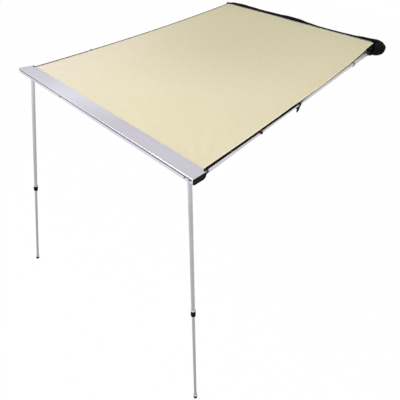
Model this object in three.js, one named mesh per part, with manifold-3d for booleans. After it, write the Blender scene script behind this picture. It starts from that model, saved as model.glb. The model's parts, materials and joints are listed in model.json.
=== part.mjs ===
import * as THREE from 'three';
import { mergeVertices } from 'three/addons/utils/BufferGeometryUtils.js';
import Module from 'manifold-3d';

const wasm = await Module();
wasm.setup();

// Vehicle side awning, shown pulled out, in millimetres.
// The origin is the middle of the rail's back face. X runs along the rail, +Y points to the
// vehicle and +Z is up. Seen from the front of the awning, +X is to the right.

// Clearances and shared values
const gap = 0.3;
const overrun = 1;
const sides = 28;
const smallSides = 16;

// Rail that bolts to the roof rack
const railHalfLength = 880;
const railDepth = 22;
const railHeight = 96;
const slotSpacing = 56;
const slotMouth = 9;
const slotWidth = 15;
const slotLip = 3;
const slotHeadDepth = 6;
const railCapThickness = 3;
const railCapBoss = 5;
const railCapBossDepth = 9;

// Keder channels that hold the cloth's edge beads
const channelRadius = 3.6;
const channelMouth = 2.4;
const channelSides = 14;
const beadRadius = 3.2;
const beadOverhang = 8;
const railChannelInset = 5.2;
const railChannelDrop = 8;

// Beam that the cloth is pulled out with
const beamFrontY = -2513;
const beamDepth = 109;
const beamTopZ = -296;
const beamHeight = 48;
const beamWall = 3;
const beamChamfer = 16;
const beamShortfall = 16;
const grooveDrop = 8;
const grooveWidth = 6;
const grooveDepth = 3;
const grooveSkin = 3;
const keelDrop = 14;
const keelDepth = 13;
const beamChannelInset = 6;
const beamChannelDrop = 7;
const beamCapThickness = 5;
const beamCapInset = 2.5;
const beamCapRim = 3.5;
const beamCapRecess = 2;
const beamScrewRadius = 3.6;
const beamScrewHeight = 2;
const beamScrewDrop = 19;
const beamScrewInset = 16;
const beamScrewSpacing = 33;
const beamScrewFarInset = 552;

// Cloth
const clothInset = 25.6;
const clothTaper = 11;
const clothThickness = 1.2;
const edgeSagDepth = 20;
const middleSagDepth = 34;
const clothStepsX = 20;
const clothStepsY = 22;
const bindingWidth = 12;
const bindingThickness = 2.6;
const bindingSteps = 40;
const bindingEndGap = 3.6;

// Cover that the awning packs into
const coverCentreY = -45;
const coverCentreZ = -4;
const coverRadius = 58;
const panelThickness = 4;
const panelBackGap = 1;
const panelSides = 48;
const panelShapes = {
  right: { y: -36, z: 5, halfDepth: 39, halfHeight: 60, bulge: 90 },
  left: { y: -34, z: -25, halfDepth: 36, halfHeight: 30, bulge: 50 },
};
const panelRingShares = [
  [1, 0], [0.99, 0.3], [0.93, 0.58], [0.8, 0.8], [0.58, 0.93], [0.3, 0.99], [0.06, 1],
];
const flapThickness = 1.6;
const flapStartAngle = -1.1;
const flapEndAngle = -1.9;
const flapSteps = 14;
const flapFootFront = 15.5;
const flapFootBack = 3.5;
const flapEndGap = 1;
const foldEndGap = 4;
const foldFront = 36;
const foldBack = 2;
const foldSteps = 62;
const foldBaseHeight = 15;
const foldHeightShares = [
  0.3, 1.2, 1.45, 1.3, 1.05, 1.15, 1.25, 1.6, 1.5, 0.85, 0.5, 0.45, 0.5, 0.6, 1.05, 1.4,
];
const foldLeanShares = [
  0.72, 0.95, 1.05, 1.0, 0.97, 0.96, 0.97, 1.05, 1.1, 1.0, 0.95, 0.95, 0.95, 0.97, 1.0, 1.1,
];
const foldSectionShares = [
  [0.0, 0.0], [0.34, 0.02], [0.72, 0.06], [0.96, 0.3], [1.0, 0.58], [0.88, 0.86],
  [0.62, 1.0], [0.36, 0.94], [0.14, 0.72], [0.03, 0.4],
];
const zipWidth = 14;
const zipThickness = 1.2;
const zipSteps = 5;
const zipSliderInset = 55;
const zipSliderLength = 12;
const zipSliderWidth = 9;
const zipSliderHeight = 4;
const zipPullLength = 26;
const zipPullWidth = 5;
const zipPullThickness = 1.6;

// Arm brackets and knuckles at the rail
const armInset = 27;
const pivotY = -50;
const pivotZ = -40;
const bracketPlate = 4;
const bracketEar = 4;
const bracketHalfWidth = 13;
const bracketGapHeight = 20;
const pinRadius = 5;
const pinHeadRadius = 8;
const pinHeadHeight = 3;
const knuckleRadius = 12;
const sleeveWall = 4;
const sleeveStart = 22;
const sleeveBoreStart = 36;
const sleeveEnd = 405;
const screwRadius = 4.5;
const screwHeight = 3;
const screwDrop = 22;

// Telescopic arms
const outerRadius = 14;
const outerWall = 1.6;
const outerStart = 40;
const outerEnd = 1391;
const tubeClearance = 0.4;
const innerWall = 1.5;
const innerOverlap = 150;
const clampLength = 22;
const clampWall = 5;
const lugHalfWidth = 5;
const lugDrop = 32;
const lugLength = 15;
const leverPinRadius = 2.5;
const leverPinHead = 4;
const leverPinHeadHeight = 1.5;
const leverThickness = 4;
const leverLength = 36;
const leverWidth = 13;
const leverCurl = 11;

// Hooks between the arms and the beam
const hookPlate = 3;
const hookZ = -318;
const hookPegRadius = 4;
const hookTongue = 2.5;
const hookHeight = 7.8;
const hookGripWall = 5;
const hookTail = 12;
const hookHalfWidth = 11;
const hookPlateHeight = 19;
const tipFlange = 4;
const tipPlug = 30;

// Legs
const laneSpacing = 38;
const laneShift = 3;
const legRightInset = 81;
const legLeftInset = 115;
const legTilts = { right: 0.082, left: 0.166 };
const legSplays = { right: 0.232, left: 0.133 };
const tiltDrop = 15.5;
const foldDrop = 19.5;
const yokePlate = 2.5;
const yokeHalfWidth = 12;
const yokeHalfLength = 15.5;
const yokeCheekDrop = 20;
const trunnionRadius = 3.5;
const blockHalfLength = 9;
const blockHalfWidth = 7;
const blockTop = 7;
const foldBoltRadius = 4;
const foldBoltHead = 6.5;
const foldBoltHeadHeight = 2.2;
const earThickness = 3;
const earHalfWidth = 8;
const fittingTop = 15.5;
const fittingFlange = 5;
const fittingPlug = 40;
const legUpperRadius = 13;
const legUpperWall = 1.3;
const legUpperEnd = 1080;
const legClearance = 0.5;
const legLowerWall = 1.4;
const legLowerOverlap = 160;
const legLowerEnd = 2150;
const collarWall = 4;
const collarNeckWall = 2.5;
const collarTop = 26;
const collarBottom = 26;
const collarBevel = 5;
const collarSides = 24;
const ferruleWall = 3;
const ferruleLength = 24;
const ferruleLip = 8;
const tipWall = 2;
const tipEndRadius = 6;
const tipLength = 34;
const tipBand = 10;
const footPlug = 20;

// Places that follow from the sizes above
const railTop = railHeight / 2;
const armX = railHalfLength - armInset;
const clothHalfWidth = railHalfLength - clothInset;
const rearBeadHalfLength = clothHalfWidth + beadOverhang;
const frontBeadHalfLength = rearBeadHalfLength - clothTaper;
const flapHalfLength = railHalfLength - flapEndGap;
const foldHalfLength = railHalfLength - foldEndGap;
const zipSliderX = railHalfLength - zipSliderInset;
const beamHalfLength = railHalfLength - beamShortfall;
const beamScrewX = beamHalfLength - beamScrewInset;
const beamScrewXs = [beamScrewX, beamScrewX - beamScrewSpacing, beamScrewFarInset - beamHalfLength];
const legXs = { right: beamHalfLength - legRightInset, left: legLeftInset - beamHalfLength };
const beamBackY = beamFrontY + beamDepth;
const beamBottomZ = beamTopZ - beamHeight;
const clothRearY = -railDepth + railChannelInset - beadRadius - gap;
const clothRearZ = railTop - railChannelDrop;
const clothFrontY = beamBackY - beamChannelInset + beadRadius + gap;
const clothFrontZ = beamTopZ - beamChannelDrop;
const outerBore = outerRadius - outerWall;
const innerRadius = outerBore - tubeClearance;
const sleeveRadius = outerRadius + sleeveWall;
const clampRadius = outerRadius + clampWall;
const hookGrip = hookPegRadius + hookGripWall;
const legUpperBore = legUpperRadius - legUpperWall;
const legLowerRadius = legUpperBore - legClearance;
const collarRadius = legUpperRadius + collarWall;
const collarNeck = legUpperRadius + collarNeckWall;
const ferruleRadius = legLowerRadius + ferruleWall;
const tipRadius = legLowerRadius + tipWall;
const laneMiddle = beamFrontY + beamDepth / 2 + laneShift;
const laneYs = { right: laneMiddle + laneSpacing / 2, left: laneMiddle - laneSpacing / 2 };
const hookY = beamBackY + gap + hookPlate + hookGrip + gap + gap;
const armRun = Math.hypot(hookY - pivotY, hookZ - pivotZ);
const armPitch = Math.atan2(pivotZ - hookZ, pivotY - hookY);
const innerEnd = armRun - hookTail - tipFlange - gap;

// Colours of the materials
const looks = {
  aluminium: { color: 0xd3d1dc, roughness: 0.38, metalness: 0.8 },
  aluminiumWhite: { color: 0xdcdce4, roughness: 0.45, metalness: 0.5 },
  steel: { color: 0x9a9a9e, roughness: 0.35, metalness: 1.0 },
  darkSteel: { color: 0x2e2c2e, roughness: 0.5, metalness: 0.6 },
  black: { color: 0x1d1d20, roughness: 0.55, metalness: 0.0 },
  rubber: { color: 0x19191a, roughness: 0.85, metalness: 0.0 },
  pale: { color: 0xd8d4cc, roughness: 0.5, metalness: 0.0 },
  grey: { color: 0x77777d, roughness: 0.6, metalness: 0.0 },
  cream: { color: 0xe6dfc0, roughness: 0.9, metalness: 0.0 },
  cover: { color: 0x1b1b1e, roughness: 0.8, metalness: 0.0 },
};

// Helpers

function named(name, geometry, look, parent) {
  const mesh = new THREE.Mesh(geometry, new THREE.MeshStandardMaterial(looks[look]));
  mesh.name = name;
  parent.add(mesh);
  return mesh;
}

function solid(geometry) {
  const bare = geometry.clone();
  bare.deleteAttribute('normal');
  bare.deleteAttribute('uv');
  const merged = mergeVertices(bare, gap / 1000);
  const mesh = new wasm.Mesh({
    numProp: 3,
    vertProperties: new Float32Array(merged.attributes.position.array),
    triVerts: new Uint32Array(merged.index.array),
  });
  return new wasm.Manifold(mesh);
}

function geometryOf(body) {
  const mesh = body.getMesh();
  const geometry = new THREE.BufferGeometry();
  geometry.setAttribute('position', new THREE.BufferAttribute(new Float32Array(mesh.vertProperties), 3));
  geometry.setIndex(new THREE.BufferAttribute(new Uint32Array(mesh.triVerts), 1));
  geometry.computeVertexNormals();
  return geometry;
}

function join(first, ...others) {
  return geometryOf(others.reduce((body, other) => body.add(solid(other)), solid(first)));
}

function cut(first, ...others) {
  return geometryOf(others.reduce((body, other) => body.subtract(solid(other)), solid(first)));
}

function outline(points) {
  return new THREE.Shape(points.map(([a, b]) => new THREE.Vector2(a, b)));
}

// An outline in Y and Z, drawn out along X from one place to another
function alongX(shape, from, to) {
  const geometry = new THREE.ExtrudeGeometry(shape, { depth: to - from, bevelEnabled: false, steps: 1 });
  const turn = new THREE.Matrix4().makeBasis(
    new THREE.Vector3(0, 1, 0), new THREE.Vector3(0, 0, 1), new THREE.Vector3(1, 0, 0));
  geometry.applyMatrix4(turn);
  return geometry.translate(from, 0, 0);
}

function box(x0, x1, y0, y1, z0, z1) {
  const geometry = new THREE.BoxGeometry(x1 - x0, y1 - y0, z1 - z0);
  return geometry.translate((x0 + x1) / 2, (y0 + y1) / 2, (z0 + z1) / 2);
}

function turned(profile, count = sides) {
  return new THREE.LatheGeometry(profile.map(([r, h]) => new THREE.Vector2(r, h)), count);
}

// A round bar from one height to another, on the Y axis
function bar(radius, from, to, count = sides) {
  return turned([[0, from], [radius, from], [radius, to], [0, to]], count);
}

// A round tube from one height to another, on the Y axis
function tube(inside, outside, from, to, count = sides) {
  return turned([[inside, from], [outside, from], [outside, to], [inside, to], [inside, from]], count);
}

const toX = (geometry) => geometry.rotateZ(-Math.PI / 2);
const toZ = (geometry) => geometry.rotateX(Math.PI / 2);
const toDown = (geometry) => geometry.rotateX(-Math.PI / 2);
const toFront = (geometry) => geometry.rotateX(Math.PI);

// The keder channel's outline, from one side of its mouth round to the other.
// The mouth faces the side that the sign names.
function channelPoints(y, z, face, sign) {
  const half = Math.asin(channelMouth / 2 / channelRadius);
  const points = [[face, z - sign * channelMouth / 2]];
  for (let i = 0; i <= channelSides; i += 1) {
    const angle = -half - (i / channelSides) * (2 * Math.PI - 2 * half);
    points.push([y + sign * channelRadius * Math.cos(angle), z + sign * channelRadius * Math.sin(angle)]);
  }
  points.push([face, z + sign * channelMouth / 2]);
  return points;
}

// The same piece on the other side of the middle
function mirrored(geometry) {
  const copy = geometry.clone();
  copy.scale(-1, 1, 1);
  const index = copy.index.array;
  for (let i = 0; i < index.length; i += 3) {
    [index[i], index[i + 1]] = [index[i + 1], index[i]];
  }
  copy.computeVertexNormals();
  return copy;
}

// Both sides of a piece that is drawn on the right
function pair(stem, geometry, look, parent) {
  const whole = geometry.index ? geometry : mergeVertices(geometry);
  named(`${stem}_right`, whole, look, parent);
  named(`${stem}_left`, mirrored(whole), look, parent);
}

const awning = new THREE.Group();

// Rail, its end caps, and the T slots in its back

function slotPoints(z) {
  const mouth = slotMouth / 2;
  const head = slotWidth / 2;
  const deep = -slotLip - slotHeadDepth;
  return [
    [0, z - mouth], [-slotLip, z - mouth], [-slotLip, z - head], [deep, z - head],
    [deep, z + head], [-slotLip, z + head], [-slotLip, z + mouth], [0, z + mouth],
  ];
}

const railOutline = [
  [-railDepth, -railTop],
  [0, -railTop],
  ...slotPoints(-slotSpacing / 2),
  ...slotPoints(slotSpacing / 2),
  [0, railTop],
  [-railDepth, railTop],
  ...channelPoints(-railDepth + railChannelInset, clothRearZ, -railDepth, -1),
];
named('rail_extrusion', alongX(outline(railOutline), -railHalfLength, railHalfLength), 'aluminium', awning);

const railCapFrom = railHalfLength + gap;
const bossBack = -slotLip - gap;
const bossFront = -slotLip - slotHeadDepth + gap;
const railCapBossAt = (z) => box(
  railCapFrom - railCapBossDepth, railCapFrom + overrun, bossFront, bossBack, z - railCapBoss, z + railCapBoss);
pair('rail_end_cap', join(
  box(railCapFrom, railCapFrom + railCapThickness, -railDepth, 0, -railTop, railTop),
  railCapBossAt(slotSpacing / 2),
  railCapBossAt(-slotSpacing / 2),
), 'black', awning);

// Cover: two soft end panels that bulge outward, the flap under the rail and the flap bunched on top.
// The left panel has slumped below the rail's top.

const panelFrom = railHalfLength + railCapThickness + gap + gap;

// A ring of an end panel, oval but for its flat back, at a share of its size and one depth of its bulge
function panelRing(shape, size, inset, x) {
  const ring = [];
  const cut = Math.acos((-panelBackGap - shape.y) / shape.halfDepth);
  const deep = size * (shape.halfDepth - inset);
  const high = size * (shape.halfHeight - inset);
  for (let i = 0; i <= panelSides; i += 1) {
    const angle = cut + (i / panelSides) * (2 * Math.PI - 2 * cut);
    ring.push([x, shape.y + deep * Math.cos(angle), shape.z + high * Math.sin(angle)]);
  }
  return ring;
}

function endPanel(shape) {
  const outside = panelRingShares.map(([size, depth]) => panelRing(
    shape, size, 0, panelFrom + depth * shape.bulge));
  const inside = panelRingShares.map(([size, depth]) => panelRing(
    shape, size, panelThickness, panelFrom + depth * (shape.bulge - panelThickness)));
  return loft([...inside.reverse(), ...outside]);
}
named('cover_end_panel_right', endPanel(panelShapes.right), 'cover', awning);
named('cover_end_panel_left', mirrored(endPanel(panelShapes.left)), 'cover', awning);

// A point on the cover's round section
function coverPoint(angle, radius) {
  return [coverCentreY + radius * Math.cos(angle), coverCentreZ + radius * Math.sin(angle)];
}

// A band that follows the cover's round section between two angles
function coverBand(from, to, inside, outside, steps) {
  const outer = [];
  const inner = [];
  for (let i = 0; i <= steps; i += 1) {
    const angle = from + (i / steps) * (to - from);
    outer.push(coverPoint(angle, outside));
    inner.unshift(coverPoint(angle, inside));
  }
  return [outer, inner];
}

const [flapOuter, flapInner] = coverBand(
  flapStartAngle, flapEndAngle, coverRadius - flapThickness, coverRadius, flapSteps);
const footTop = -railTop - gap;
const footBottom = footTop - flapThickness;
const flapOutline = [
  [-flapFootBack, footTop],
  [-flapFootBack, footBottom],
  [-flapFootFront, footBottom],
  ...flapOuter,
  ...flapInner,
  [-flapFootFront - flapThickness, footTop],
];
named('cover_lower_flap', alongX(outline(flapOutline), -flapHalfLength, flapHalfLength), 'cover', awning);

const zipAngle = zipWidth / coverRadius;
const zipInside = coverRadius + gap;
const [zipOuter, zipInner] = coverBand(
  flapEndAngle + zipAngle, flapEndAngle, zipInside, zipInside + zipThickness, zipSteps);
const zipOutline = outline([...zipOuter, ...zipInner]);
named('zip_tape_lower', alongX(zipOutline, -flapHalfLength, flapHalfLength), 'black', awning);

const zipFrame = new THREE.Group();
const zipMiddle = flapEndAngle + zipAngle / 2;
const [zipY, zipZ] = coverPoint(zipMiddle, zipInside + zipThickness + gap);
zipFrame.position.set(zipSliderX, zipY, zipZ);
zipFrame.rotation.x = zipMiddle - Math.PI / 2;
awning.add(zipFrame);
const pullFrom = zipSliderLength / 2 - overrun;
named('zip_slider', join(
  box(-zipSliderLength / 2, zipSliderLength / 2, -zipSliderWidth / 2, zipSliderWidth / 2, 0, zipSliderHeight),
  box(pullFrom, pullFrom + zipPullLength, -zipPullWidth / 2, zipPullWidth / 2,
    zipSliderHeight - zipPullThickness, zipSliderHeight),
), 'steel', zipFrame);

// A value read along a table of shares
function along(shares, t) {
  const place = t * (shares.length - 1);
  const i = Math.min(Math.floor(place), shares.length - 2);
  const f = place - i;
  const s = f * f * (3 - 2 * f);
  return shares[i] * (1 - s) + shares[i + 1] * s;
}

// A closed skin through rings of points that all have the same count
function loft(rings) {
  const count = rings[0].length;
  const points = [];
  const index = [];
  rings.forEach((ring) => ring.forEach((p) => points.push(...p)));
  for (let r = 0; r < rings.length - 1; r += 1) {
    for (let i = 0; i < count; i += 1) {
      const j = (i + 1) % count;
      const a = r * count + i;
      const b = r * count + j;
      index.push(a, b, b + count, a, b + count, a + count);
    }
  }
  const last = (rings.length - 1) * count;
  for (let i = 1; i < count - 1; i += 1) {
    index.push(0, i + 1, i);
    index.push(last, last + i, last + i + 1);
  }
  const geometry = new THREE.BufferGeometry();
  geometry.setAttribute('position', new THREE.BufferAttribute(new Float32Array(points), 3));
  geometry.setIndex(index);
  geometry.computeVertexNormals();
  return geometry;
}

const foldRings = [];
for (let i = 0; i <= foldSteps; i += 1) {
  const t = i / foldSteps;
  const x = -foldHalfLength + t * 2 * foldHalfLength;
  const height = foldBaseHeight * along(foldHeightShares, t);
  const front = foldFront * along(foldLeanShares, t);
  foldRings.push(foldSectionShares.map(([a, b]) => [
    x, -foldBack - a * (front - foldBack), railTop + gap + b * height,
  ]));
}
foldRings.forEach((ring) => ring.reverse());
named('cover_upper_flap', loft(foldRings), 'cover', awning);

// Cloth: a thin sheet that hangs in a shallow belly between the rail and the beam and is a
// little narrower at the beam

const clothRun = clothRearY - clothFrontY;

// The height of the cloth's middle layer, from its share of the way across and out
function clothZ(across, out) {
  const crown = 1 - across * across;
  const sag = edgeSagDepth + (middleSagDepth - edgeSagDepth) * crown;
  return clothRearZ + (clothFrontZ - clothRearZ) * out - 4 * sag * out * (1 - out);
}

// A sheet between two X places that follows the cloth
function clothSheet(x0, x1, y0, y1, thickness, stepsX, stepsY) {
  const points = [];
  const index = [];
  const row = stepsX + 1;
  const layer = row * (stepsY + 1);
  for (const up of [1, -1]) {
    for (let j = 0; j <= stepsY; j += 1) {
      for (let i = 0; i <= stepsX; i += 1) {
        const x = x0 + (i / stepsX) * (x1 - x0);
        const y = y0 + (j / stepsY) * (y1 - y0);
        const across = Math.min(1, Math.abs(x) / clothHalfWidth);
        const out = (clothRearY - y) / clothRun;
        const narrowed = x - out * clothTaper * x / clothHalfWidth;
        points.push(narrowed, y, clothZ(across, out) + up * thickness / 2);
      }
    }
  }
  for (let j = 0; j < stepsY; j += 1) {
    for (let i = 0; i < stepsX; i += 1) {
      const a = j * row + i;
      const b = a + 1;
      const c = a + row;
      const d = c + 1;
      index.push(a, c, b, b, c, d);
      index.push(layer + a, layer + b, layer + c, layer + b, layer + d, layer + c);
    }
  }
  const wall = (a, b) => index.push(a, b, layer + a, b, layer + b, layer + a);
  for (let i = 0; i < stepsX; i += 1) {
    wall(i, i + 1);
    wall(stepsY * row + i + 1, stepsY * row + i);
  }
  for (let j = 0; j < stepsY; j += 1) {
    wall((j + 1) * row, j * row);
    wall(j * row + stepsX, (j + 1) * row + stepsX);
  }
  const geometry = new THREE.BufferGeometry();
  geometry.setAttribute('position', new THREE.BufferAttribute(new Float32Array(points), 3));
  geometry.setIndex(index);
  geometry.computeVertexNormals();
  return geometry;
}

named('canopy_cloth', clothSheet(
  -clothHalfWidth, clothHalfWidth, clothRearY, clothFrontY, clothThickness, clothStepsX, clothStepsY,
), 'cream', awning);

const bindingFrom = clothHalfWidth + gap;
pair('canopy_binding', clothSheet(
  bindingFrom, bindingFrom + bindingWidth, -railDepth - bindingEndGap, beamBackY + bindingEndGap,
  bindingThickness, 1, bindingSteps,
), 'black', awning);

function bead(name, half, y, z) {
  const mesh = named(name, toX(bar(beadRadius, -half, half, smallSides)), 'grey', awning);
  mesh.position.set(0, y, z);
}
bead('canopy_rear_bead', rearBeadHalfLength, -railDepth + railChannelInset, clothRearZ);
bead('canopy_front_bead', frontBeadHalfLength, beamBackY - beamChannelInset, clothFrontZ);

// Beam: an inverted trough with a groove along its front and a keder channel at its top back edge

const lipShare = beamWall * (Math.SQRT2 - 1);
const innerFront = beamFrontY + beamWall;
const innerBack = beamBackY - beamWall;
const innerTop = beamTopZ - beamWall;
const chamferZ = beamBottomZ + beamChamfer;
const lipZ = beamBottomZ + beamWall * Math.SQRT2;
const groovePad = grooveDepth + grooveSkin;
const beamOutline = [
  [beamFrontY, beamTopZ],
  [beamFrontY, beamTopZ - grooveDrop],
  [beamFrontY + grooveDepth, beamTopZ - grooveDrop],
  [beamFrontY + grooveDepth, beamTopZ - grooveDrop - grooveWidth],
  [beamFrontY, beamTopZ - grooveDrop - grooveWidth],
  [beamFrontY, chamferZ],
  [beamFrontY + beamChamfer, beamBottomZ],
  [beamFrontY + beamChamfer, lipZ],
  [innerFront, chamferZ + lipShare],
  [innerFront, beamTopZ - grooveDrop - grooveWidth - grooveSkin],
  [beamFrontY + groovePad, beamTopZ - grooveDrop - grooveWidth - grooveSkin],
  [beamFrontY + groovePad, beamTopZ - grooveDrop + grooveSkin],
  [innerFront, beamTopZ - grooveDrop + grooveSkin],
  [innerFront, innerTop],
  [beamBackY - keelDepth, innerTop],
  [beamBackY - keelDepth, beamTopZ - keelDrop],
  [innerBack, beamTopZ - keelDrop],
  [innerBack, chamferZ + lipShare],
  [beamBackY - beamChamfer, lipZ],
  [beamBackY - beamChamfer, beamBottomZ],
  [beamBackY, chamferZ],
  ...channelPoints(beamBackY - beamChannelInset, clothFrontZ, beamBackY, 1),
  [beamBackY, beamTopZ],
];
named('beam_extrusion', alongX(outline(beamOutline), -beamHalfLength, beamHalfLength), 'aluminium', awning);

// The beam's outer section, drawn in from its edge by an inset
function beamSection(inset) {
  const side = inset * (Math.SQRT2 - 1);
  return outline([
    [beamFrontY + inset, beamTopZ - inset],
    [beamFrontY + inset, chamferZ + side],
    [beamFrontY + beamChamfer + side, beamBottomZ + inset],
    [beamBackY - beamChamfer - side, beamBottomZ + inset],
    [beamBackY - inset, chamferZ + side],
    [beamBackY - inset, beamTopZ - inset],
  ]);
}
const capFrom = beamHalfLength + gap;
const capTo = capFrom + beamCapThickness;
pair('beam_end_cap', cut(
  alongX(beamSection(beamCapInset), capFrom, capTo),
  alongX(beamSection(beamCapInset + beamCapRim), capTo - beamCapRecess, capTo + overrun),
), 'black', awning);

beamScrewXs.forEach((x, i) => {
  const head = bar(beamScrewRadius, gap, gap + beamScrewHeight, smallSides);
  const mesh = named(`beam_front_screw_${i + 1}`, toFront(head), 'darkSteel', awning);
  mesh.position.set(x, beamFrontY, beamTopZ - beamScrewDrop);
});

// Hook plates on the beam's back: two tongues with an upright peg between them

const plateY = beamBackY + gap;
const tongueY = plateY + hookPlate;
const pegReach = hookY - tongueY;
const tongueRound = hookGrip - overrun;
const tongueEnd = hookY + tongueRound;
const plateTop = hookZ + hookPlateHeight / 2;
const tongueLow = hookHeight / 2 + gap;
const tongue = (z) => box(
  armX - tongueRound, armX + tongueRound, plateY + overrun, tongueEnd, z, z + hookTongue);
pair('arm_hook_plate', join(
  box(armX - hookHalfWidth, armX + hookHalfWidth - overrun, plateY, tongueY,
    plateTop - hookPlateHeight, plateTop),
  tongue(hookZ + tongueLow),
  tongue(hookZ - tongueLow - hookTongue),
  toZ(bar(hookPegRadius, hookZ - tongueLow - overrun, hookZ + tongueLow + overrun, smallSides))
    .translate(armX, hookY, 0),
), 'steel', awning);

// Arm brackets on the rail, with their pins and screws

const earZ = bracketGapHeight / 2;
const bracketY0 = -railDepth - gap - bracketPlate;
const bracketEars = [1, -1].map((up) => {
  const low = up > 0 ? earZ : -earZ - bracketEar;
  const flat = box(-bracketHalfWidth, bracketHalfWidth, pivotY, bracketY0 + overrun, low, low + bracketEar);
  const round = toZ(bar(bracketHalfWidth, low, low + bracketEar)).translate(0, pivotY, 0);
  return [flat, round];
}).flat().map((piece) => piece.translate(armX, 0, pivotZ));
const bracketBack = box(
  armX - bracketHalfWidth, armX + bracketHalfWidth, bracketY0, -railDepth - gap,
  pivotZ - earZ - bracketEar, pivotZ + earZ + bracketEar + screwDrop);
const pinHole = toZ(bar(pinRadius + gap, -railHeight, railHeight, smallSides)).translate(armX, pivotY, 0);
pair('arm_bracket', geometryOf(
  bracketEars.reduce((body, piece) => body.add(solid(piece)), solid(bracketBack)).subtract(solid(pinHole)),
), 'black', awning);

const pinHalf = earZ + bracketEar + gap;
pair('arm_pivot_pin', toZ(turned([
  [0, -pinHalf - pinHeadHeight], [pinHeadRadius, -pinHalf - pinHeadHeight], [pinHeadRadius, -pinHalf],
  [pinRadius, -pinHalf], [pinRadius, pinHalf], [pinHeadRadius, pinHalf],
  [pinHeadRadius, pinHalf + pinHeadHeight], [0, pinHalf + pinHeadHeight],
], smallSides)).translate(armX, pivotY, pivotZ), 'steel', awning);

const screwZ = pivotZ + earZ + bracketEar + screwDrop / 2;
pair('arm_bracket_screw', toFront(bar(screwRadius, 0, screwHeight, smallSides))
  .translate(armX, bracketY0 - gap, screwZ), 'steel', awning);

// Arms: in the arm's own frame the arm runs out along -Y

function armFrame(side) {
  const frame = new THREE.Group();
  frame.position.set(side * armX, pivotY, pivotZ);
  awning.add(frame);
  return frame;
}

const pitched = (geometry) => geometry.rotateX(armPitch);
const knuckleHalf = earZ - gap;
const knuckle = geometryOf(
  solid(toZ(bar(knuckleRadius, -knuckleHalf, knuckleHalf)))
    .add(solid(pitched(toFront(bar(sleeveRadius, sleeveStart, sleeveEnd)))))
    .add(solid(box(-knuckleRadius, knuckleRadius, -sleeveStart - bracketPlate, 0,
      -knuckleHalf, knuckleHalf)))
    .subtract(solid(toZ(bar(pinRadius + gap, -railHeight, railHeight, smallSides))))
    .subtract(solid(pitched(toFront(bar(outerRadius + gap, sleeveBoreStart, sleeveEnd + overrun))))),
);
const outerTube = pitched(toFront(tube(outerBore, outerRadius, outerStart, outerEnd)));
const innerStart = outerEnd - innerOverlap;
const innerTube = pitched(toFront(tube(innerRadius - innerWall, innerRadius, innerStart, innerEnd)));

const clampStart = outerEnd - clampLength;
const lugMiddle = clampStart + clampLength / 2;
const lugHole = lugDrop - leverWidth / 2;
const clamp = geometryOf(
  solid(toFront(bar(clampRadius, clampStart, outerEnd + gap)))
    .add(solid(box(-lugHalfWidth, lugHalfWidth, -lugMiddle - lugLength / 2, -lugMiddle + lugLength / 2,
      -lugDrop, -outerRadius)))
    .subtract(solid(toFront(bar(outerRadius + gap, clampStart - overrun, outerEnd + overrun))))
    .subtract(solid(toX(bar(leverPinRadius + gap, -clampRadius, clampRadius, smallSides))
      .translate(0, -lugMiddle, -lugHole))),
);

// The lever hangs from the lug and curls at its end, drawn in Y and Z about its pin
const leverHalf = leverWidth / 2;
const leverBend = leverLength - leverCurl;
const leverPoints = [
  [leverHalf, 0], [leverHalf * Math.SQRT1_2, leverHalf * Math.SQRT1_2], [0, leverHalf],
  [-leverHalf * Math.SQRT1_2, leverHalf * Math.SQRT1_2], [-leverHalf, 0],
  [-leverHalf, -leverBend], [-leverHalf + leverCurl / 4, -leverLength + leverHalf / 2],
  [leverHalf, -leverLength], [leverCurl, -leverLength + leverHalf / 2], [leverCurl + leverHalf, -leverBend],
  [leverCurl, -leverBend + leverHalf / 2], [leverHalf + leverHalf / 2, -leverLength + leverHalf + leverHalf / 2],
  [leverHalf, -leverBend],
];
const leverFrom = lugHalfWidth + gap;
const lever = cut(
  alongX(outline(leverPoints), leverFrom, leverFrom + leverThickness),
  toX(bar(leverPinRadius + gap, 0, leverFrom + leverThickness + overrun, smallSides)),
).translate(0, -lugMiddle, -lugHole);
const leverPinEnd = leverFrom + leverThickness + gap;
const leverPinFrom = -lugHalfWidth - gap;
const leverPin = toX(turned([
  [0, leverPinFrom - leverPinHeadHeight], [leverPinHead, leverPinFrom - leverPinHeadHeight],
  [leverPinHead, leverPinFrom], [leverPinRadius, leverPinFrom], [leverPinRadius, leverPinEnd],
  [leverPinHead, leverPinEnd], [leverPinHead, leverPinEnd + leverPinHeadHeight],
  [0, leverPinEnd + leverPinHeadHeight],
], smallSides)).translate(0, -lugMiddle, -lugHole);

// The tip's level fork grips the peg from the inner side, so its mouth faces outward
const tipHalf = hookHeight / 2;
const forkMouth = hookPegRadius + gap;
const toTip = (geometry) => geometry.translate(0, hookY - pivotY, hookZ - pivotZ);
const tip = geometryOf(
  solid(toTip(toZ(bar(hookGrip, -tipHalf, tipHalf))))
    .add(solid(toTip(box(-hookGrip, forkMouth, 0, hookTail + overrun, -tipHalf, tipHalf))))
    .add(solid(pitched(toFront(bar(innerRadius, innerEnd + gap, innerEnd + gap + tipFlange)))))
    .add(solid(pitched(toFront(bar(
      innerRadius - innerWall - gap, innerEnd - tipPlug, innerEnd + gap + overrun)))))
    .subtract(solid(toTip(toZ(bar(forkMouth, -railHeight, railHeight, smallSides)))))
    .subtract(solid(toTip(box(0, hookGrip + overrun, -forkMouth, forkMouth, -railHeight, railHeight)))),
);

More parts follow.
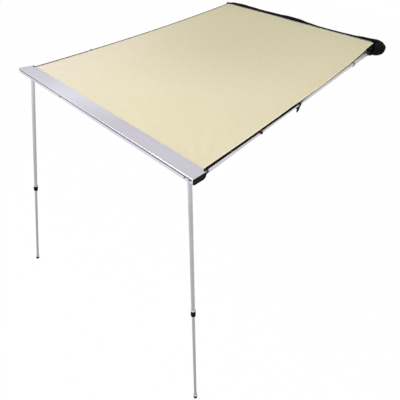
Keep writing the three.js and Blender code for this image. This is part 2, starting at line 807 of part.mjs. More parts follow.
for (const [side, sign] of [['right', 1], ['left', -1]]) {
  const frame = armFrame(sign);
  const sided = (geometry) => {
    const whole = geometry.index ? geometry : mergeVertices(geometry);
    return sign > 0 ? whole : mirrored(whole);
  };
  named(`arm_${side}_knuckle`, sided(knuckle), 'black', frame);
  named(`arm_${side}_outer_tube`, sided(outerTube), 'aluminiumWhite', frame);
  named(`arm_${side}_inner_tube`, sided(innerTube), 'aluminiumWhite', frame);
  named(`arm_${side}_clamp`, pitched(sided(clamp).clone()), 'pale', frame);
  named(`arm_${side}_lever`, pitched(sided(lever).clone()), 'black', frame);
  named(`arm_${side}_lever_pin`, pitched(sided(leverPin).clone()), 'steel', frame);
  named(`arm_${side}_tip_fork`, sided(tip), 'aluminiumWhite', frame);
}

// Legs: each hangs from a yoke in the beam on a block that tilts about X,
// and folds on a bolt through that block. In the leg's own frame it runs down along -Z.

const yokeTop = beamTopZ - beamWall - gap;

function yoke(x, y) {
  const inner = yokeHalfLength - yokePlate;
  const cheek = (from, to) => box(x + from, x + to, y - yokeHalfWidth, y + yokeHalfWidth,
    yokeTop - yokeCheekDrop, yokeTop);
  return geometryOf(
    solid(box(x - yokeHalfLength, x + yokeHalfLength, y - yokeHalfWidth, y + yokeHalfWidth,
      yokeTop - yokePlate, yokeTop))
      .add(solid(cheek(-yokeHalfLength, -inner)))
      .add(solid(cheek(inner, yokeHalfLength)))
      .subtract(solid(toX(bar(trunnionRadius + gap, -railHeight, railHeight, smallSides))
        .translate(x, y, beamTopZ - tiltDrop))),
  );
}

const block = geometryOf(
  solid(box(-blockHalfLength, blockHalfLength, -blockHalfWidth, blockHalfWidth, -foldDrop, blockTop))
    .add(solid(toX(bar(trunnionRadius, -yokeHalfLength, yokeHalfLength, smallSides))))
    .add(solid(bar(blockHalfLength, -blockHalfWidth, blockHalfWidth).translate(0, 0, -foldDrop)))
    .subtract(solid(bar(foldBoltRadius + gap, -railHeight, railHeight, smallSides)
      .translate(0, 0, -foldDrop))),
);

const earFrom = blockHalfWidth + gap;
const earTo = earFrom + earThickness;
const boltHalf = earTo + gap;
const foldBolt = turned([
  [0, -boltHalf - foldBoltHeadHeight], [foldBoltHead, -boltHalf - foldBoltHeadHeight],
  [foldBoltHead, -boltHalf], [foldBoltRadius, -boltHalf], [foldBoltRadius, boltHalf],
  [foldBoltHead, boltHalf], [foldBoltHead, boltHalf + foldBoltHeadHeight],
  [0, boltHalf + foldBoltHeadHeight],
], smallSides);

const fittingEnd = fittingTop + fittingFlange;
const earPieces = [[earFrom, earTo], [-earTo, -earFrom]].flatMap(([from, to]) => [
  box(-earHalfWidth, earHalfWidth, from, to, -fittingTop - overrun, 0),
  bar(earHalfWidth, from, to),
]);
const fitting = geometryOf(
  earPieces.reduce((body, piece) => body.add(solid(piece)),
    solid(toDown(bar(legUpperRadius, fittingTop, fittingEnd))))
    .add(solid(toDown(bar(legUpperBore - gap, fittingEnd - overrun, fittingEnd + fittingPlug))))
    .subtract(solid(bar(foldBoltRadius + gap, -railHeight, railHeight, smallSides))),
);

const legUpper = toDown(tube(legUpperBore, legUpperRadius, fittingEnd + gap, legUpperEnd));
const collarStart = legUpperEnd - collarTop;
const collarEnd = legUpperEnd + collarBottom;
const collarStep = legUpperEnd + gap;
const collarBore = legUpperRadius + gap;
const collarSeat = legLowerRadius + gap;
const collar = toDown(turned([
  [collarBore, collarStart], [collarNeck, collarStart], [collarRadius, collarStart + collarBevel],
  [collarRadius, collarEnd - collarBevel], [collarNeck, collarEnd], [collarSeat, collarEnd],
  [collarSeat, collarStep], [collarBore, collarStep], [collarBore, collarStart],
], collarSides));
const legLower = toDown(tube(
  legLowerRadius - legLowerWall, legLowerRadius, legUpperEnd - legLowerOverlap, legLowerEnd));
const ferruleStart = legLowerEnd - ferruleLength;
const ferruleBore = legLowerRadius + gap;
const ferrule = toDown(turned([
  [ferruleBore, ferruleStart], [ferruleBore + legLowerWall, ferruleStart],
  [ferruleRadius, legLowerEnd - ferruleLip], [ferruleRadius, legLowerEnd], [ferruleBore, legLowerEnd],
  [ferruleBore, ferruleStart],
]));
const tipFrom = legLowerEnd + gap;
const footPlugRadius = legLowerRadius - legLowerWall - gap;
const foot = toDown(turned([
  [0, legLowerEnd - footPlug], [footPlugRadius, legLowerEnd - footPlug], [footPlugRadius, tipFrom],
  [tipRadius, tipFrom], [tipRadius, tipFrom + tipBand], [tipEndRadius, tipFrom + tipLength],
  [0, tipFrom + tipLength],
]));

for (const side of ['right', 'left']) {
  const sign = side === 'right' ? 1 : -1;
  named(`leg_${side}_yoke`, yoke(legXs[side], laneYs[side]), 'steel', awning);
  const tiltFrame = new THREE.Group();
  tiltFrame.position.set(legXs[side], laneYs[side], beamTopZ - tiltDrop);
  tiltFrame.rotation.x = -legTilts[side];
  awning.add(tiltFrame);
  named(`leg_${side}_tilt_block`, block, 'darkSteel', tiltFrame);
  const legFrame = new THREE.Group();
  legFrame.position.set(0, 0, -foldDrop);
  legFrame.rotation.y = -sign * legSplays[side];
  tiltFrame.add(legFrame);
  named(`leg_${side}_fold_bolt`, foldBolt, 'darkSteel', legFrame);
  named(`leg_${side}_top_fitting`, fitting, 'black', legFrame);
  named(`leg_${side}_upper_tube`, legUpper, 'aluminiumWhite', legFrame);
  named(`leg_${side}_collar`, collar, 'grey', legFrame);
  named(`leg_${side}_lower_tube`, legLower, 'aluminiumWhite', legFrame);
  named(`leg_${side}_ferrule`, ferrule, 'pale', legFrame);
  named(`leg_${side}_foot`, foot, 'rubber', legFrame);
}

export default awning;
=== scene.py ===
import json
import math

import bmesh
import bpy
import numpy as np
from mathutils import Matrix, Vector


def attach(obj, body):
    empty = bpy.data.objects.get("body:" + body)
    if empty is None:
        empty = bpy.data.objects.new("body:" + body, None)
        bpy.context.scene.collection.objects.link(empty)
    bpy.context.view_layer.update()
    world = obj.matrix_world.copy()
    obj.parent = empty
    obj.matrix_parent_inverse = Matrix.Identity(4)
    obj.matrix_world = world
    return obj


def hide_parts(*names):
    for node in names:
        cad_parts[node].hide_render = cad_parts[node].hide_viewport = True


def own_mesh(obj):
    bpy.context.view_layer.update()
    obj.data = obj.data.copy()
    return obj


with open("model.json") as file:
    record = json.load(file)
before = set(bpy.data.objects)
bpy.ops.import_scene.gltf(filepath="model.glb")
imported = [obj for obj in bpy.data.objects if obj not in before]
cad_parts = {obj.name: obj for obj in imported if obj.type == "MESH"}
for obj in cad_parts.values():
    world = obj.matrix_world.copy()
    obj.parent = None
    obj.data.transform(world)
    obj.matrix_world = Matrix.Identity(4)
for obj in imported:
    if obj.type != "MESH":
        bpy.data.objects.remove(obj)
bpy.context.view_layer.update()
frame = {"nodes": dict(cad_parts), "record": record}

scene = bpy.context.scene
scene.view_settings.view_transform = "Standard"
SIDES = (("right", 1), ("left", -1))

# Sizes of the awning, in metres, as its solids have them
RAIL_HALF = 0.880
RAIL_DEPTH = 0.022
RAIL_TOP = 0.048
FLAP_HALF = 0.879
BEAM_HALF = 0.864
BEAM_FRONT = -2.513
BEAM_BACK = -2.404
BEAM_TOP = -0.296
CLOTH_HALF = 0.8544
CLOTH_TAPER = 0.011
CLOTH_THICKNESS = 0.0012
CLOTH_REAR = (-0.0203, 0.040)
CLOTH_FRONT = (-2.4065, -0.303)
EDGE_SAG = 0.020
MIDDLE_SAG = 0.034
COVER_CENTRE = (-0.045, -0.004)
COVER_RADIUS = 0.058
PANEL_START = 0.8836
PANELS = {
    "right": {"middle": (-0.036, 0.005), "deep": 0.039, "high": 0.060, "bulge": 0.090},
    "left": {"middle": (-0.034, -0.025), "deep": 0.036, "high": 0.030, "bulge": 0.050},
}
ARM_X = 0.853
ARM_PIVOT = (-0.050, -0.040)
ARM_PITCH = 0.118194
SLEEVE_END = 0.405
SLEEVE_RADIUS = 0.018
ARM_RADIUS = 0.014
LEVER_PIVOT = (-1.417365, -0.22805)
LEG_RADIUS = 0.013
COLLAR_RADIUS = 0.017
COLLAR_PLACE = 1.080
LEG_END = 2.150
LEGS = {
    "right": {"pivot": (0.783, -2.4365, -0.3115), "tilt": 0.082, "splay": 0.232},
    "left": {"pivot": (-0.749, -2.4745, -0.3115), "tilt": 0.166, "splay": 0.133},
}
FOLD_DROP = 0.0195
GROOVE_MIDDLE = 0.011
GROUND = -2.468

# Camera at the photograph's place, over the right front corner of the beam. Its turn is yaw, pitch and roll
# in degrees, and its focal length is in pixels of the photograph.
CAMERA_PLACE = (1.5382, -3.3824, 0.5541)
CAMERA_TURN = (125.032, -41.523, 9.056)
FOCAL_LENGTH = 289.66
PHOTO_WIDTH = 400.0


def place_camera():
    yaw, pitch, roll = (math.radians(a) for a in CAMERA_TURN)
    ahead = Vector((math.cos(pitch) * math.cos(yaw), math.cos(pitch) * math.sin(yaw), math.sin(pitch)))
    level = Vector((math.sin(yaw), -math.cos(yaw), 0.0))
    above = level.cross(ahead)
    right = math.cos(roll) * level + math.sin(roll) * above
    up = -math.sin(roll) * level + math.cos(roll) * above
    lens = bpy.data.cameras.new("photo_camera")
    lens.sensor_width = 36.0
    lens.lens = FOCAL_LENGTH * lens.sensor_width / PHOTO_WIDTH
    lens.clip_end = 100.0
    camera = bpy.data.objects.new("photo_camera", lens)
    turn = Matrix((right, up, -ahead)).transposed().to_4x4()
    camera.matrix_world = Matrix.Translation(CAMERA_PLACE) @ turn
    scene.collection.objects.link(camera)
    scene.camera = camera


place_camera()


# Materials

def linear(hex_colour):
    """A linear colour from an sRGB hex value."""
    parts = [int(hex_colour[i:i + 2], 16) / 255 for i in (1, 3, 5)]
    return [p / 12.92 if p <= 0.04045 else ((p + 0.055) / 1.055) ** 2.4 for p in parts] + [1.0]


def add(tree, kind, settings=None, links=None):
    """Adds a node. Lower-case settings are its own values, the others its sockets' values."""
    made = tree.nodes.new(kind)
    for key, value in (settings or {}).items():
        if isinstance(key, str) and key.islower():
            setattr(made, key, value)
        else:
            made.inputs[key].default_value = value
    for key, source in (links or {}).items():
        tree.links.new(source, made.inputs[key])
    return made


def start(name, roughness, metallic=0.0, **more):
    """A material with its shader, its object coordinates and its constant values in place."""
    made = bpy.data.materials.new(name)
    made.use_nodes = True
    tree = made.node_tree
    shader = tree.nodes["Principled BSDF"]
    shader.inputs["Roughness"].default_value = roughness
    shader.inputs["Metallic"].default_value = metallic
    for key, value in more.items():
        shader.inputs[key.replace("_", " ")].default_value = value
    where = add(tree, "ShaderNodeTexCoord").outputs["Object"]
    return made, tree, shader, where


def maths(tree, operation, *values):
    """The result of a maths node, whose inputs are numbers or other nodes' outputs."""
    fixed = {i: value for i, value in enumerate(values) if isinstance(value, float)}
    linked = {i: value for i, value in enumerate(values) if i not in fixed}
    return add(tree, "ShaderNodeMath", {"operation": operation} | fixed, linked).outputs[0]


def ranged(tree, value, low, high, to_low=0.0, to_high=1.0):
    """A value spread from one range over another, and kept inside it."""
    ends = {"From Min": low, "From Max": high, "To Min": to_low, "To Max": to_high}
    return add(tree, "ShaderNodeMapRange", ends, {"Value": value}).outputs[0]


def axis(tree, where, letter):
    """The place along one axis."""
    return add(tree, "ShaderNodeSeparateXYZ", {}, {0: where}).outputs[letter]


def pattern(tree, where, size, stretch=(1, 1, 1), detail=3.0):
    """Noise whose features are about as large as size, in metres, longer where stretch is smaller."""
    placed = add(tree, "ShaderNodeMapping", {"Scale": [s / size for s in stretch]}, {"Vector": where})
    return add(tree, "ShaderNodeTexNoise", {"Scale": 1.0, "Detail": detail},
               {"Vector": placed.outputs[0]}).outputs["Fac"]


def ribs(tree, where, spacing, letter):
    """Rounded ribs that lie spacing metres apart along one axis."""
    return add(tree, "ShaderNodeTexWave", {"bands_direction": letter, "Scale": math.tau / 20 / spacing},
               {"Vector": where}).outputs["Fac"]


def woven(tree, where, spacing):
    """The heights of a plain weave whose threads lie spacing metres apart along X and Y."""
    return maths(tree, "MAXIMUM", ribs(tree, where, spacing, "X"), ribs(tree, where, spacing, "Y"))


def tones(tree, value, low, high, dark, light, between=()):
    """A colour ramp from dark to light between two values, with any tones that lie between them."""
    ramp = add(tree, "ShaderNodeValToRGB", {}, {"Fac": value})
    stops = ramp.color_ramp.elements
    for stop, place, hex_colour in zip(stops, (low, high), (dark, light)):
        stop.position = place
        stop.color = linear(hex_colour)
    for place, hex_colour in between:
        stops.new(place).color = linear(hex_colour)
    return ramp.outputs["Color"]


def multiplied(tree, colour, *others):
    """The product of several colours."""
    for other in others:
        colour = add(tree, "ShaderNodeMix", {"data_type": "RGBA", "blend_type": "MULTIPLY", 0: 1.0},
                     {6: colour, 7: other}).outputs[2]
    return colour


def paint(tree, shader, colour):
    tree.links.new(colour, shader.inputs["Base Color"])


def roughen(tree, shader, value, low, high):
    """Varies the roughness between two values."""
    tree.links.new(ranged(tree, value, 0.0, 1.0, low, high), shader.inputs["Roughness"])


def relief(tree, shader, height, depth, strength=1.0, below=None):
    """Gives the surface a height pattern that is depth metres deep, on top of any relief below it."""
    links = {"Height": height} if below is None else {"Height": height, "Normal": below}
    bump = add(tree, "ShaderNodeBump", {"Distance": depth, "Strength": strength}, links)
    tree.links.new(bump.outputs[0], shader.inputs["Normal"])
    return bump.outputs[0]


def anodised_extrusion(name, dark="#e0dde8", light="#ebe9f3", low=0.34, high=0.46):
    """Clear anodised aluminium: satin, faintly lilac, with fine die lines along the extrusion, and a slow
    change of tone along it that is a painted highlight: a lamp's broad reflection, brightest a third of the
    way along."""
    made, tree, shader, where = start(name, 0.40, 0.85)
    lines = pattern(tree, where, 0.003, (0.004, 1, 1), 4.0)
    cloud = pattern(tree, where, 0.30, (0.5, 1, 1), 2.0)
    mean = maths(tree, "MULTIPLY", maths(tree, "ADD", lines, cloud), 0.5)
    plain = tones(tree, mean, 0.35, 0.66, dark, light)
    along = ranged(tree, axis(tree, where, "X"), -RAIL_HALF, RAIL_HALF)
    # painted highlight: a lamp's broad reflection painted along X, brightest at 0.36 of the length
    painted_highlight_along = tones(tree, along, 0.0, 1.0, "#e6e6e7", "#efeeef",
                 ((0.16, "#ebebec"), (0.36, "#ffffff"), (0.62, "#eeedee")))
    paint(tree, shader, multiplied(tree, plain, painted_highlight_along))
    roughen(tree, shader, cloud, low, high)
    relief(tree, shader, lines, 0.00006, 0.4)
    return made


def anodised_tube(name):
    """Drawn and anodised aluminium tube: soft draw marks and handling dull spots, and darker towards the
    feet.
    """
    made, tree, shader, where = start(name, 0.42, 0.55)
    marks = pattern(tree, where, 0.003, (1, 0.05, 0.05))
    cloud = pattern(tree, where, 0.12)
    ground = tones(tree, cloud, 0.3, 0.7, "#ebebef", "#f7f7f9")
    height = ranged(tree, axis(tree, where, "Z"), GROUND, -0.25)
    # darker towards the feet, by height alone
    darker_towards_feet = tones(tree, height, 0.0, 1.0, "#a9a6ab", "#e9e7ea", ((0.86, "#c9c6ca"),))
    paint(tree, shader, multiplied(tree, ground, darker_towards_feet))
    roughen(tree, shader, cloud, 0.36, 0.5)
    relief(tree, shader, marks, 0.00008, 0.5)
    return made


def moulded(name, dark, light, low, high, shine=0.5):
    """Injection-moulded plastic: a spark-eroded grain, with edges and flats rubbed a little smoother."""
    made, tree, shader, where = start(name, (low + high) / 2, 0.0, Specular_IOR_Level=shine)
    cloud = pattern(tree, where, 0.03)
    paint(tree, shader, tones(tree, cloud, 0.3, 0.7, dark, light))
    roughen(tree, shader, cloud, low, high)
    relief(tree, shader, pattern(tree, where, 0.0012, detail=2.0), 0.00015, 0.5)
    return made


def plated_steel(name, dark, light, low, high, metallic=1.0):
    """Plated or blackened steel: cloudy crystals in the coat, duller in patches."""
    made, tree, shader, where = start(name, (low + high) / 2, metallic)
    crystal = add(tree, "ShaderNodeTexVoronoi", {"Scale": 260.0}, {"Vector": where})
    paint(tree, shader, tones(tree, crystal.outputs["Distance"], 0.1, 0.8, light, dark))
    cloud = pattern(tree, where, 0.012)
    roughen(tree, shader, cloud, low, high)
    relief(tree, shader, cloud, 0.0001, 0.4)
    return made


def canvas(name, dark, light):
    """Polycotton canvas: cream, matt and slightly fuzzy, with faint warm clouds and a blush towards the far
    front corner. Painted light and shade make it lighter towards the beam and darker towards the rail, and
    painted shade makes it a touch darker at its sagging middle. Its threads are 0.6 mm apart and are drawn
    3 mm apart, or they would not show."""
    made, tree, shader, where = start(name, 0.92, 0.0, Specular_IOR_Level=0.25)
    threads = woven(tree, where, 0.003)
    cloud = pattern(tree, where, 0.9, (1, 0.7, 0), 1.5)
    fine = pattern(tree, where, 0.02, (1, 0.35, 1), 4.0)
    front = ranged(tree, axis(tree, where, "Y"), 0.0, -2.4)
    left = ranged(tree, axis(tree, where, "X"), 0.3, -0.87)
    blush = maths(tree, "POWER", maths(tree, "MULTIPLY", front, left), 1.7)
    # painted light and shade: the canvas is lighter towards the beam and darker towards the rail
    plain = tones(tree, maths(tree, "MULTIPLY_ADD", cloud, 0.3, front), 0.1, 1.0, dark, light)
    mixed = add(tree, "ShaderNodeMix", {"data_type": "RGBA", 7: linear("#cfc5b6")}, {0: blush, 6: plain})
    slub = tones(tree, fine, 0.3, 0.7, "#fafaf8", "#ffffff")
    shade = tones(tree, threads, 0.0, 1.0, "#f4f3f0", "#ffffff")
    # painted shade: a touch darker round the sagging middle of the cloth
    sag_shade_distance = add(tree, "ShaderNodeVectorMath", {"operation": "DISTANCE", 1: (-0.2, -1.0, -0.15)}, {0: where})
    middle = tones(tree, sag_shade_distance.outputs["Value"], 0.15, 0.95, "#f6f6f5", "#ffffff")
    paint(tree, shader, multiplied(tree, mixed.outputs[2], slub, shade, middle))
    first = relief(tree, shader, threads, 0.0003, 0.5)
    relief(tree, shader, fine, 0.0003, 0.3, first)
    return made


def coated_fabric(name):
    """PVC-coated polyester: black, a dull sheen on the crests, the scrim showing through as a fine grid.
    The scrim is 1 mm and is drawn at 3 mm so that it shows."""
    made, tree, shader, where = start(name, 0.62, 0.0, Specular_IOR_Level=0.09)
    scuff = pattern(tree, where, 0.05, (0.4, 1, 1), 5.0)
    paint(tree, shader, tones(tree, scuff, 0.35, 0.72, "#050506", "#100f10"))
    roughen(tree, shader, scuff, 0.5, 0.78)
    first = relief(tree, shader, woven(tree, where, 0.003), 0.0003, 0.45)
    relief(tree, shader, pattern(tree, where, 0.03, (0.25, 1, 1)), 0.004, 0.6, first)
    return made


def webbing(name, dark, light):
    """Woven narrow tape: ribs across it, matt, a touch lighter where the ribs are rubbed."""
    made, tree, shader, where = start(name, 0.82, 0.0, Specular_IOR_Level=0.08)
    weft = ribs(tree, where, 0.0016, "Y")
    worn = maths(tree, "MULTIPLY", weft, pattern(tree, where, 0.006, detail=4.0))
    paint(tree, shader, tones(tree, worn, 0.05, 0.6, dark, light))
    relief(tree, shader, weft, 0.0004, 0.7)
    return made


def moulded_rubber(name):
    """Moulded natural rubber: deep black, matt, dusted grey where it meets the ground."""
    made, tree, shader, where = start(name, 0.85, 0.0, Specular_IOR_Level=0.1)
    dust = pattern(tree, where, 0.012, detail=5.0)
    paint(tree, shader, tones(tree, dust, 0.35, 0.8, "#070707", "#151412"))
    roughen(tree, shader, dust, 0.75, 0.95)
    relief(tree, shader, dust, 0.0004, 0.5)
    return made


FINISH = {
    "rail_aluminium": anodised_extrusion("anodised_aluminium_extrusion"),
    "tube_aluminium": anodised_tube("anodised_aluminium_tube"),
    "black_plastic": moulded("black_glass_filled_nylon", "#09090a", "#121214", 0.42, 0.6, shine=0.14),
    "cap_plastic": moulded("black_abs_end_cap", "#090809", "#100e0f", 0.5, 0.68, shine=0.08),
    "cover_vinyl": coated_fabric("pvc_coated_polyester"),
    "binding_tape": webbing("black_polyester_binding", "#030303", "#0c0c0d"),
    "canopy_canvas": canvas("polycotton_canvas", "#cbc4a5", "#d2caae"),
    "bead_cord": moulded("pvc_keder_cord", "#b3ae9c", "#c4bfae", 0.5, 0.65),
    "zinc_steel": plated_steel("zinc_plated_steel", "#8e8e93", "#b4b4ba", 0.28, 0.45),
    "dark_steel": plated_steel("black_oxide_steel", "#1f1d1e", "#3c3738", 0.4, 0.6, 0.7),
    "tan_nylon": moulded("tan_nylon_clamp", "#6f6558", "#8b8070", 0.45, 0.62),
    "collar_nylon": moulded("black_nylon_collar", "#060607", "#0c0c0d", 0.5, 0.66, shine=0.08),
    "white_nylon": moulded("white_nylon_ferrule", "#cfccc8", "#e2dfdb", 0.42, 0.58),
    "foot_rubber": moulded_rubber("natural_rubber"),
    "zip_nylon": webbing("black_zip_tape", "#070708", "#141416"),
    "zip_metal": plated_steel("nickel_plated_zinc", "#9a9a9e", "#c6c6ca", 0.18, 0.32),
}
# painted highlight: a lighter copy of the canvas that stands for the light caught along the folded hems
HEM_CANVAS_PAINTED_HIGHLIGHT = canvas("folded_canvas_hem_painted_highlight", "#d9d2b4", "#e0dabf")
SEWING_THREAD = moulded("bonded_polyester_thread", "#cfc9ac", "#e4dec2", 0.6, 0.75)
BLACK_THREAD = moulded("black_polyester_thread", "#101011", "#1e1e20", 0.55, 0.7, shine=0.25)
ZIP_COIL = moulded("black_acetal_coil", "#111112", "#1e1e20", 0.3, 0.42, shine=0.35)
# painted highlight: a near-white polished finish for pieces that stand for highlights and glints
POLISHED_PAINTED_HIGHLIGHT = anodised_extrusion("polished_aluminium_painted_highlight", "#f1f0f5", "#fbfbfd", 0.22, 0.3)
# painted shade: a near-black strip that stands for the shade inside the beam's groove
GROOVE_PAINTED_SHADE = moulded("brown_pvc_strip_painted_shade", "#1d1817", "#2a2423", 0.5, 0.65, shine=0.3)
# painted shade: a dark olive steel for the arm fittings and knuckle cuffs, which lie in shade
OLIVE_PAINTED_SHADE_STEEL = plated_steel("olive_steel_painted_shade", "#26251b", "#3f3c2c", 0.45, 0.6, 0.6)
TIE_WEBBING = webbing("brown_nylon_webbing", "#5c4a3f", "#8a7666")

SLOT_OF = {row["node"]: row["material_slot"] for row in frame["record"]["subparts"]}
# arm fittings given the dark olive painted shade
SHADED_OLIVE_FITTINGS = ("arm_bracket_", "arm_hook_plate_", "arm_pivot_pin_")
BLACK_FITTINGS = ("arm_left_clamp", "arm_right_clamp")


def finish_of(node_name):
    """A node's finish: that of its slot, apart from the arm fittings painted dark olive as painted shade, and
    the clamps that are black.
    """
    if node_name.startswith(SHADED_OLIVE_FITTINGS):
        return OLIVE_PAINTED_SHADE_STEEL
    return FINISH["black_plastic" if node_name in BLACK_FITTINGS else SLOT_OF[node_name]]


for node_name, node in frame["nodes"].items():
    node.data.materials.clear()
    node.data.materials.append(finish_of(node_name))


# Shapes

def piece(name, points, faces, finish, sharp=40.0):
    """A mesh object at the origin, closed, with its faces outward and edges over sharp degrees crisp."""
    mesh = bpy.data.meshes.new(name)
    mesh.from_pydata([tuple(map(float, p)) for p in points], [], [tuple(f) for f in faces])
    shape = bmesh.new()
    shape.from_mesh(mesh)
    bmesh.ops.remove_doubles(shape, verts=shape.verts, dist=1e-6)
    bmesh.ops.recalc_face_normals(shape, faces=shape.faces)
    shape.to_mesh(mesh)
    shape.free()
    mesh.shade_smooth()
    mesh.set_sharp_from_angle(angle=math.radians(sharp))
    mesh.materials.append(finish)
    made = bpy.data.objects.new(name, mesh)
    scene.collection.objects.link(made)
    return made


def settle(made, body, node=None):
    """Lets a piece ride on a body and, where a node is named, stand for that node."""
    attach(made, body)
    if node:
        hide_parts(node)
    return made


def fitted(name, shape, body, slot, node=None, finish=None, sharp=40.0):
    """A piece made from points and faces and settled, in its slot's finish unless another is given."""
    return settle(piece(name, *shape, finish or FINISH[slot], sharp), body, node)


def skin(rings, ends=True):
    """Points and faces of a skin through rings of points that all have the same count."""
    rings = np.asarray(rings, float)
    rows, count = rings.shape[:2]
    faces = [(at + i, at + (i + 1) % count, at + count + (i + 1) % count, at + count + i)
             for at in range(0, (rows - 1) * count, count) for i in range(count)]
    if ends:
        faces.append(tuple(range(count)))
        faces.append(tuple(range((rows - 1) * count, rows * count)))
    return rings.reshape(-1, 3), faces


def joined(*shapes):
    """Several points-and-faces pairs as one."""
    points, faces = [], []
    for some_points, some_faces in shapes:
        shift = len(points)
        points.extend(some_points)
        faces.extend(tuple(i + shift for i in face) for face in some_faces)
    return points, faces


def loop(width, height, corner, steps=3):
    """A rounded rectangle, as points from its middle."""
    made = []
    for quarter, (sx, sy) in enumerate(((1, 1), (-1, 1), (-1, -1), (1, -1))):
        for i in range(steps + 1):
            angle = (quarter + i / steps) * math.pi / 2
            made.append((sx * (width / 2 - corner) + corner * math.cos(angle),
                         sy * (height / 2 - corner) + corner * math.sin(angle)))
    return made


def circle(radius, steps):
    """A circle, as points from its middle."""
    return [(radius * math.cos(math.tau * i / steps), radius * math.sin(math.tau * i / steps))
            for i in range(steps)]


def carried(path, section, ahead, up):
    """Rings of a section at the points of a path, its second axis kept near up."""
    ahead = ahead / np.linalg.norm(ahead, axis=1)[:, None]
    side = np.cross(ahead, np.asarray(up, float))
    side /= np.linalg.norm(side, axis=1)[:, None]
    over = np.cross(side, ahead)
    return np.array([[p + a * s + b * o for a, b in section] for p, s, o in zip(path, side, over)])


def swept(path, section, up=(0, 0, 1)):
    """A closed bar with one section along an open path."""
    path = np.asarray(path, float)
    return skin(carried(path, section, np.gradient(path, axis=0), up))


def swept_round(path, section, up=(0, 0, 1)):
    """A bar with one section round a closed path."""
    path = np.asarray(path, float)
    rings = carried(path, section, np.roll(path, -1, axis=0) - np.roll(path, 1, axis=0), up)
    return skin(np.concatenate([rings, rings[:1]]), ends=False)


def turned(profile, base, ahead, steps=32):
    """A profile of radius and distance, turned about a line from base, with closed ends."""
    ahead = Vector(ahead).normalized()
    side = ahead.orthogonal().normalized()
    over = ahead.cross(side)
    rings = []
    for radius, distance in profile:
        middle = Vector(base) + ahead * distance
        rings.append([tuple(middle + side * a + over * b) for a, b in circle(max(radius, 0.00002), steps)])
    return skin(rings, ends=profile[0] != profile[-1])


def eased(values, t):
    """A value read smoothly along a row of values, for t from 0 to 1."""
    spans = len(values) - 1
    place = np.clip(t, 0, 1) * spans
    i = np.minimum(np.floor(place).astype(int), spans - 1)
    f = place - i
    s = f * f * (3 - 2 * f)
    return values[i] * (1 - s) + values[i + 1] * s


def smooth_noise(seed, spans):
    """A smooth repeatable curve over 0 to 1, with spans humps of random height."""
    values = np.random.default_rng(seed).uniform(-1, 1, spans + 1)
    return lambda t: eased(values, t)


# Rows of small repeated things, grown along lines by geometry nodes

def row_tree(name, shape):
    """Sets one small solid at even steps along the lines of a mesh: a rounded stitch or a block."""
    tree = bpy.data.node_groups.new(name, "GeometryNodeTree")
    inputs = (("Rows", "Geometry", None), ("Spacing", "Float", 0.006), ("Length", "Float", 0.004),
              ("Width", "Float", 0.001), ("Height", "Float", 0.001), ("Facing", "Vector", (0, 0, 1)),
              ("Jitter", "Float", 0.0), ("Seed", "Int", 7), ("Material", "Material", None))
    for label, kind, value in inputs:
        socket = tree.interface.new_socket(name=label, in_out="INPUT", socket_type="NodeSocket" + kind)
        if value is not None:
            socket.default_value = value
    tree.interface.new_socket(name="Grown", in_out="OUTPUT", socket_type="NodeSocketGeometry")
    given = tree.nodes.new("NodeGroupInput").outputs
    if shape == "block":
        solid = add(tree, "GeometryNodeMeshCube", {"Size": (1, 1, 1)})
    else:
        solid = add(tree, "GeometryNodeMeshUVSphere", {"Segments": 8, "Rings": 5, "Radius": 0.5})
    size = add(tree, "ShaderNodeCombineXYZ", {}, {0: given["Length"], 1: given["Width"], 2: given["Height"]})
    sized = add(tree, "GeometryNodeTransform", {},
                {"Geometry": solid.outputs["Mesh"], "Scale": size.outputs[0]})
    curve = add(tree, "GeometryNodeMeshToCurve", {}, {"Mesh": given["Rows"]})
    steps = add(tree, "GeometryNodeResampleCurve", {"mode": "LENGTH"},
                {"Curve": curve.outputs[0], "Length": given["Spacing"]})
    tangent = add(tree, "GeometryNodeInputTangent")
    ahead = add(tree, "FunctionNodeAlignRotationToVector", {"axis": "X"}, {"Vector": tangent.outputs[0]})
    facing = add(tree, "FunctionNodeAlignRotationToVector", {"axis": "Z", "pivot_axis": "X"},
                 {"Rotation": ahead.outputs[0], "Vector": given["Facing"]})
    low, high = (maths(tree, operation, 1.0, given["Jitter"]) for operation in ("SUBTRACT", "ADD"))
    varied = add(tree, "FunctionNodeRandomValue", {"data_type": "FLOAT"},
                 {2: low, 3: high, "Seed": given["Seed"]})
    placed = add(tree, "GeometryNodeInstanceOnPoints", {}, {
        "Points": steps.outputs[0], "Instance": sized.outputs[0], "Rotation": facing.outputs[0],
        "Scale": varied.outputs[1]})
    real = add(tree, "GeometryNodeRealizeInstances", {}, {"Geometry": placed.outputs[0]})
    shaded = add(tree, "GeometryNodeSetShadeSmooth", {"Shade Smooth": shape != "block"}, {0: real.outputs[0]})
    dressed = add(tree, "GeometryNodeSetMaterial", {},
                  {"Geometry": shaded.outputs[0], "Material": given["Material"]})
    add(tree, "NodeGroupOutput", {}, {0: dressed.outputs[0]})
    return tree


STITCHES = row_tree("stitch_rows", "stitch")
BLOCKS = row_tree("block_rows", "block")


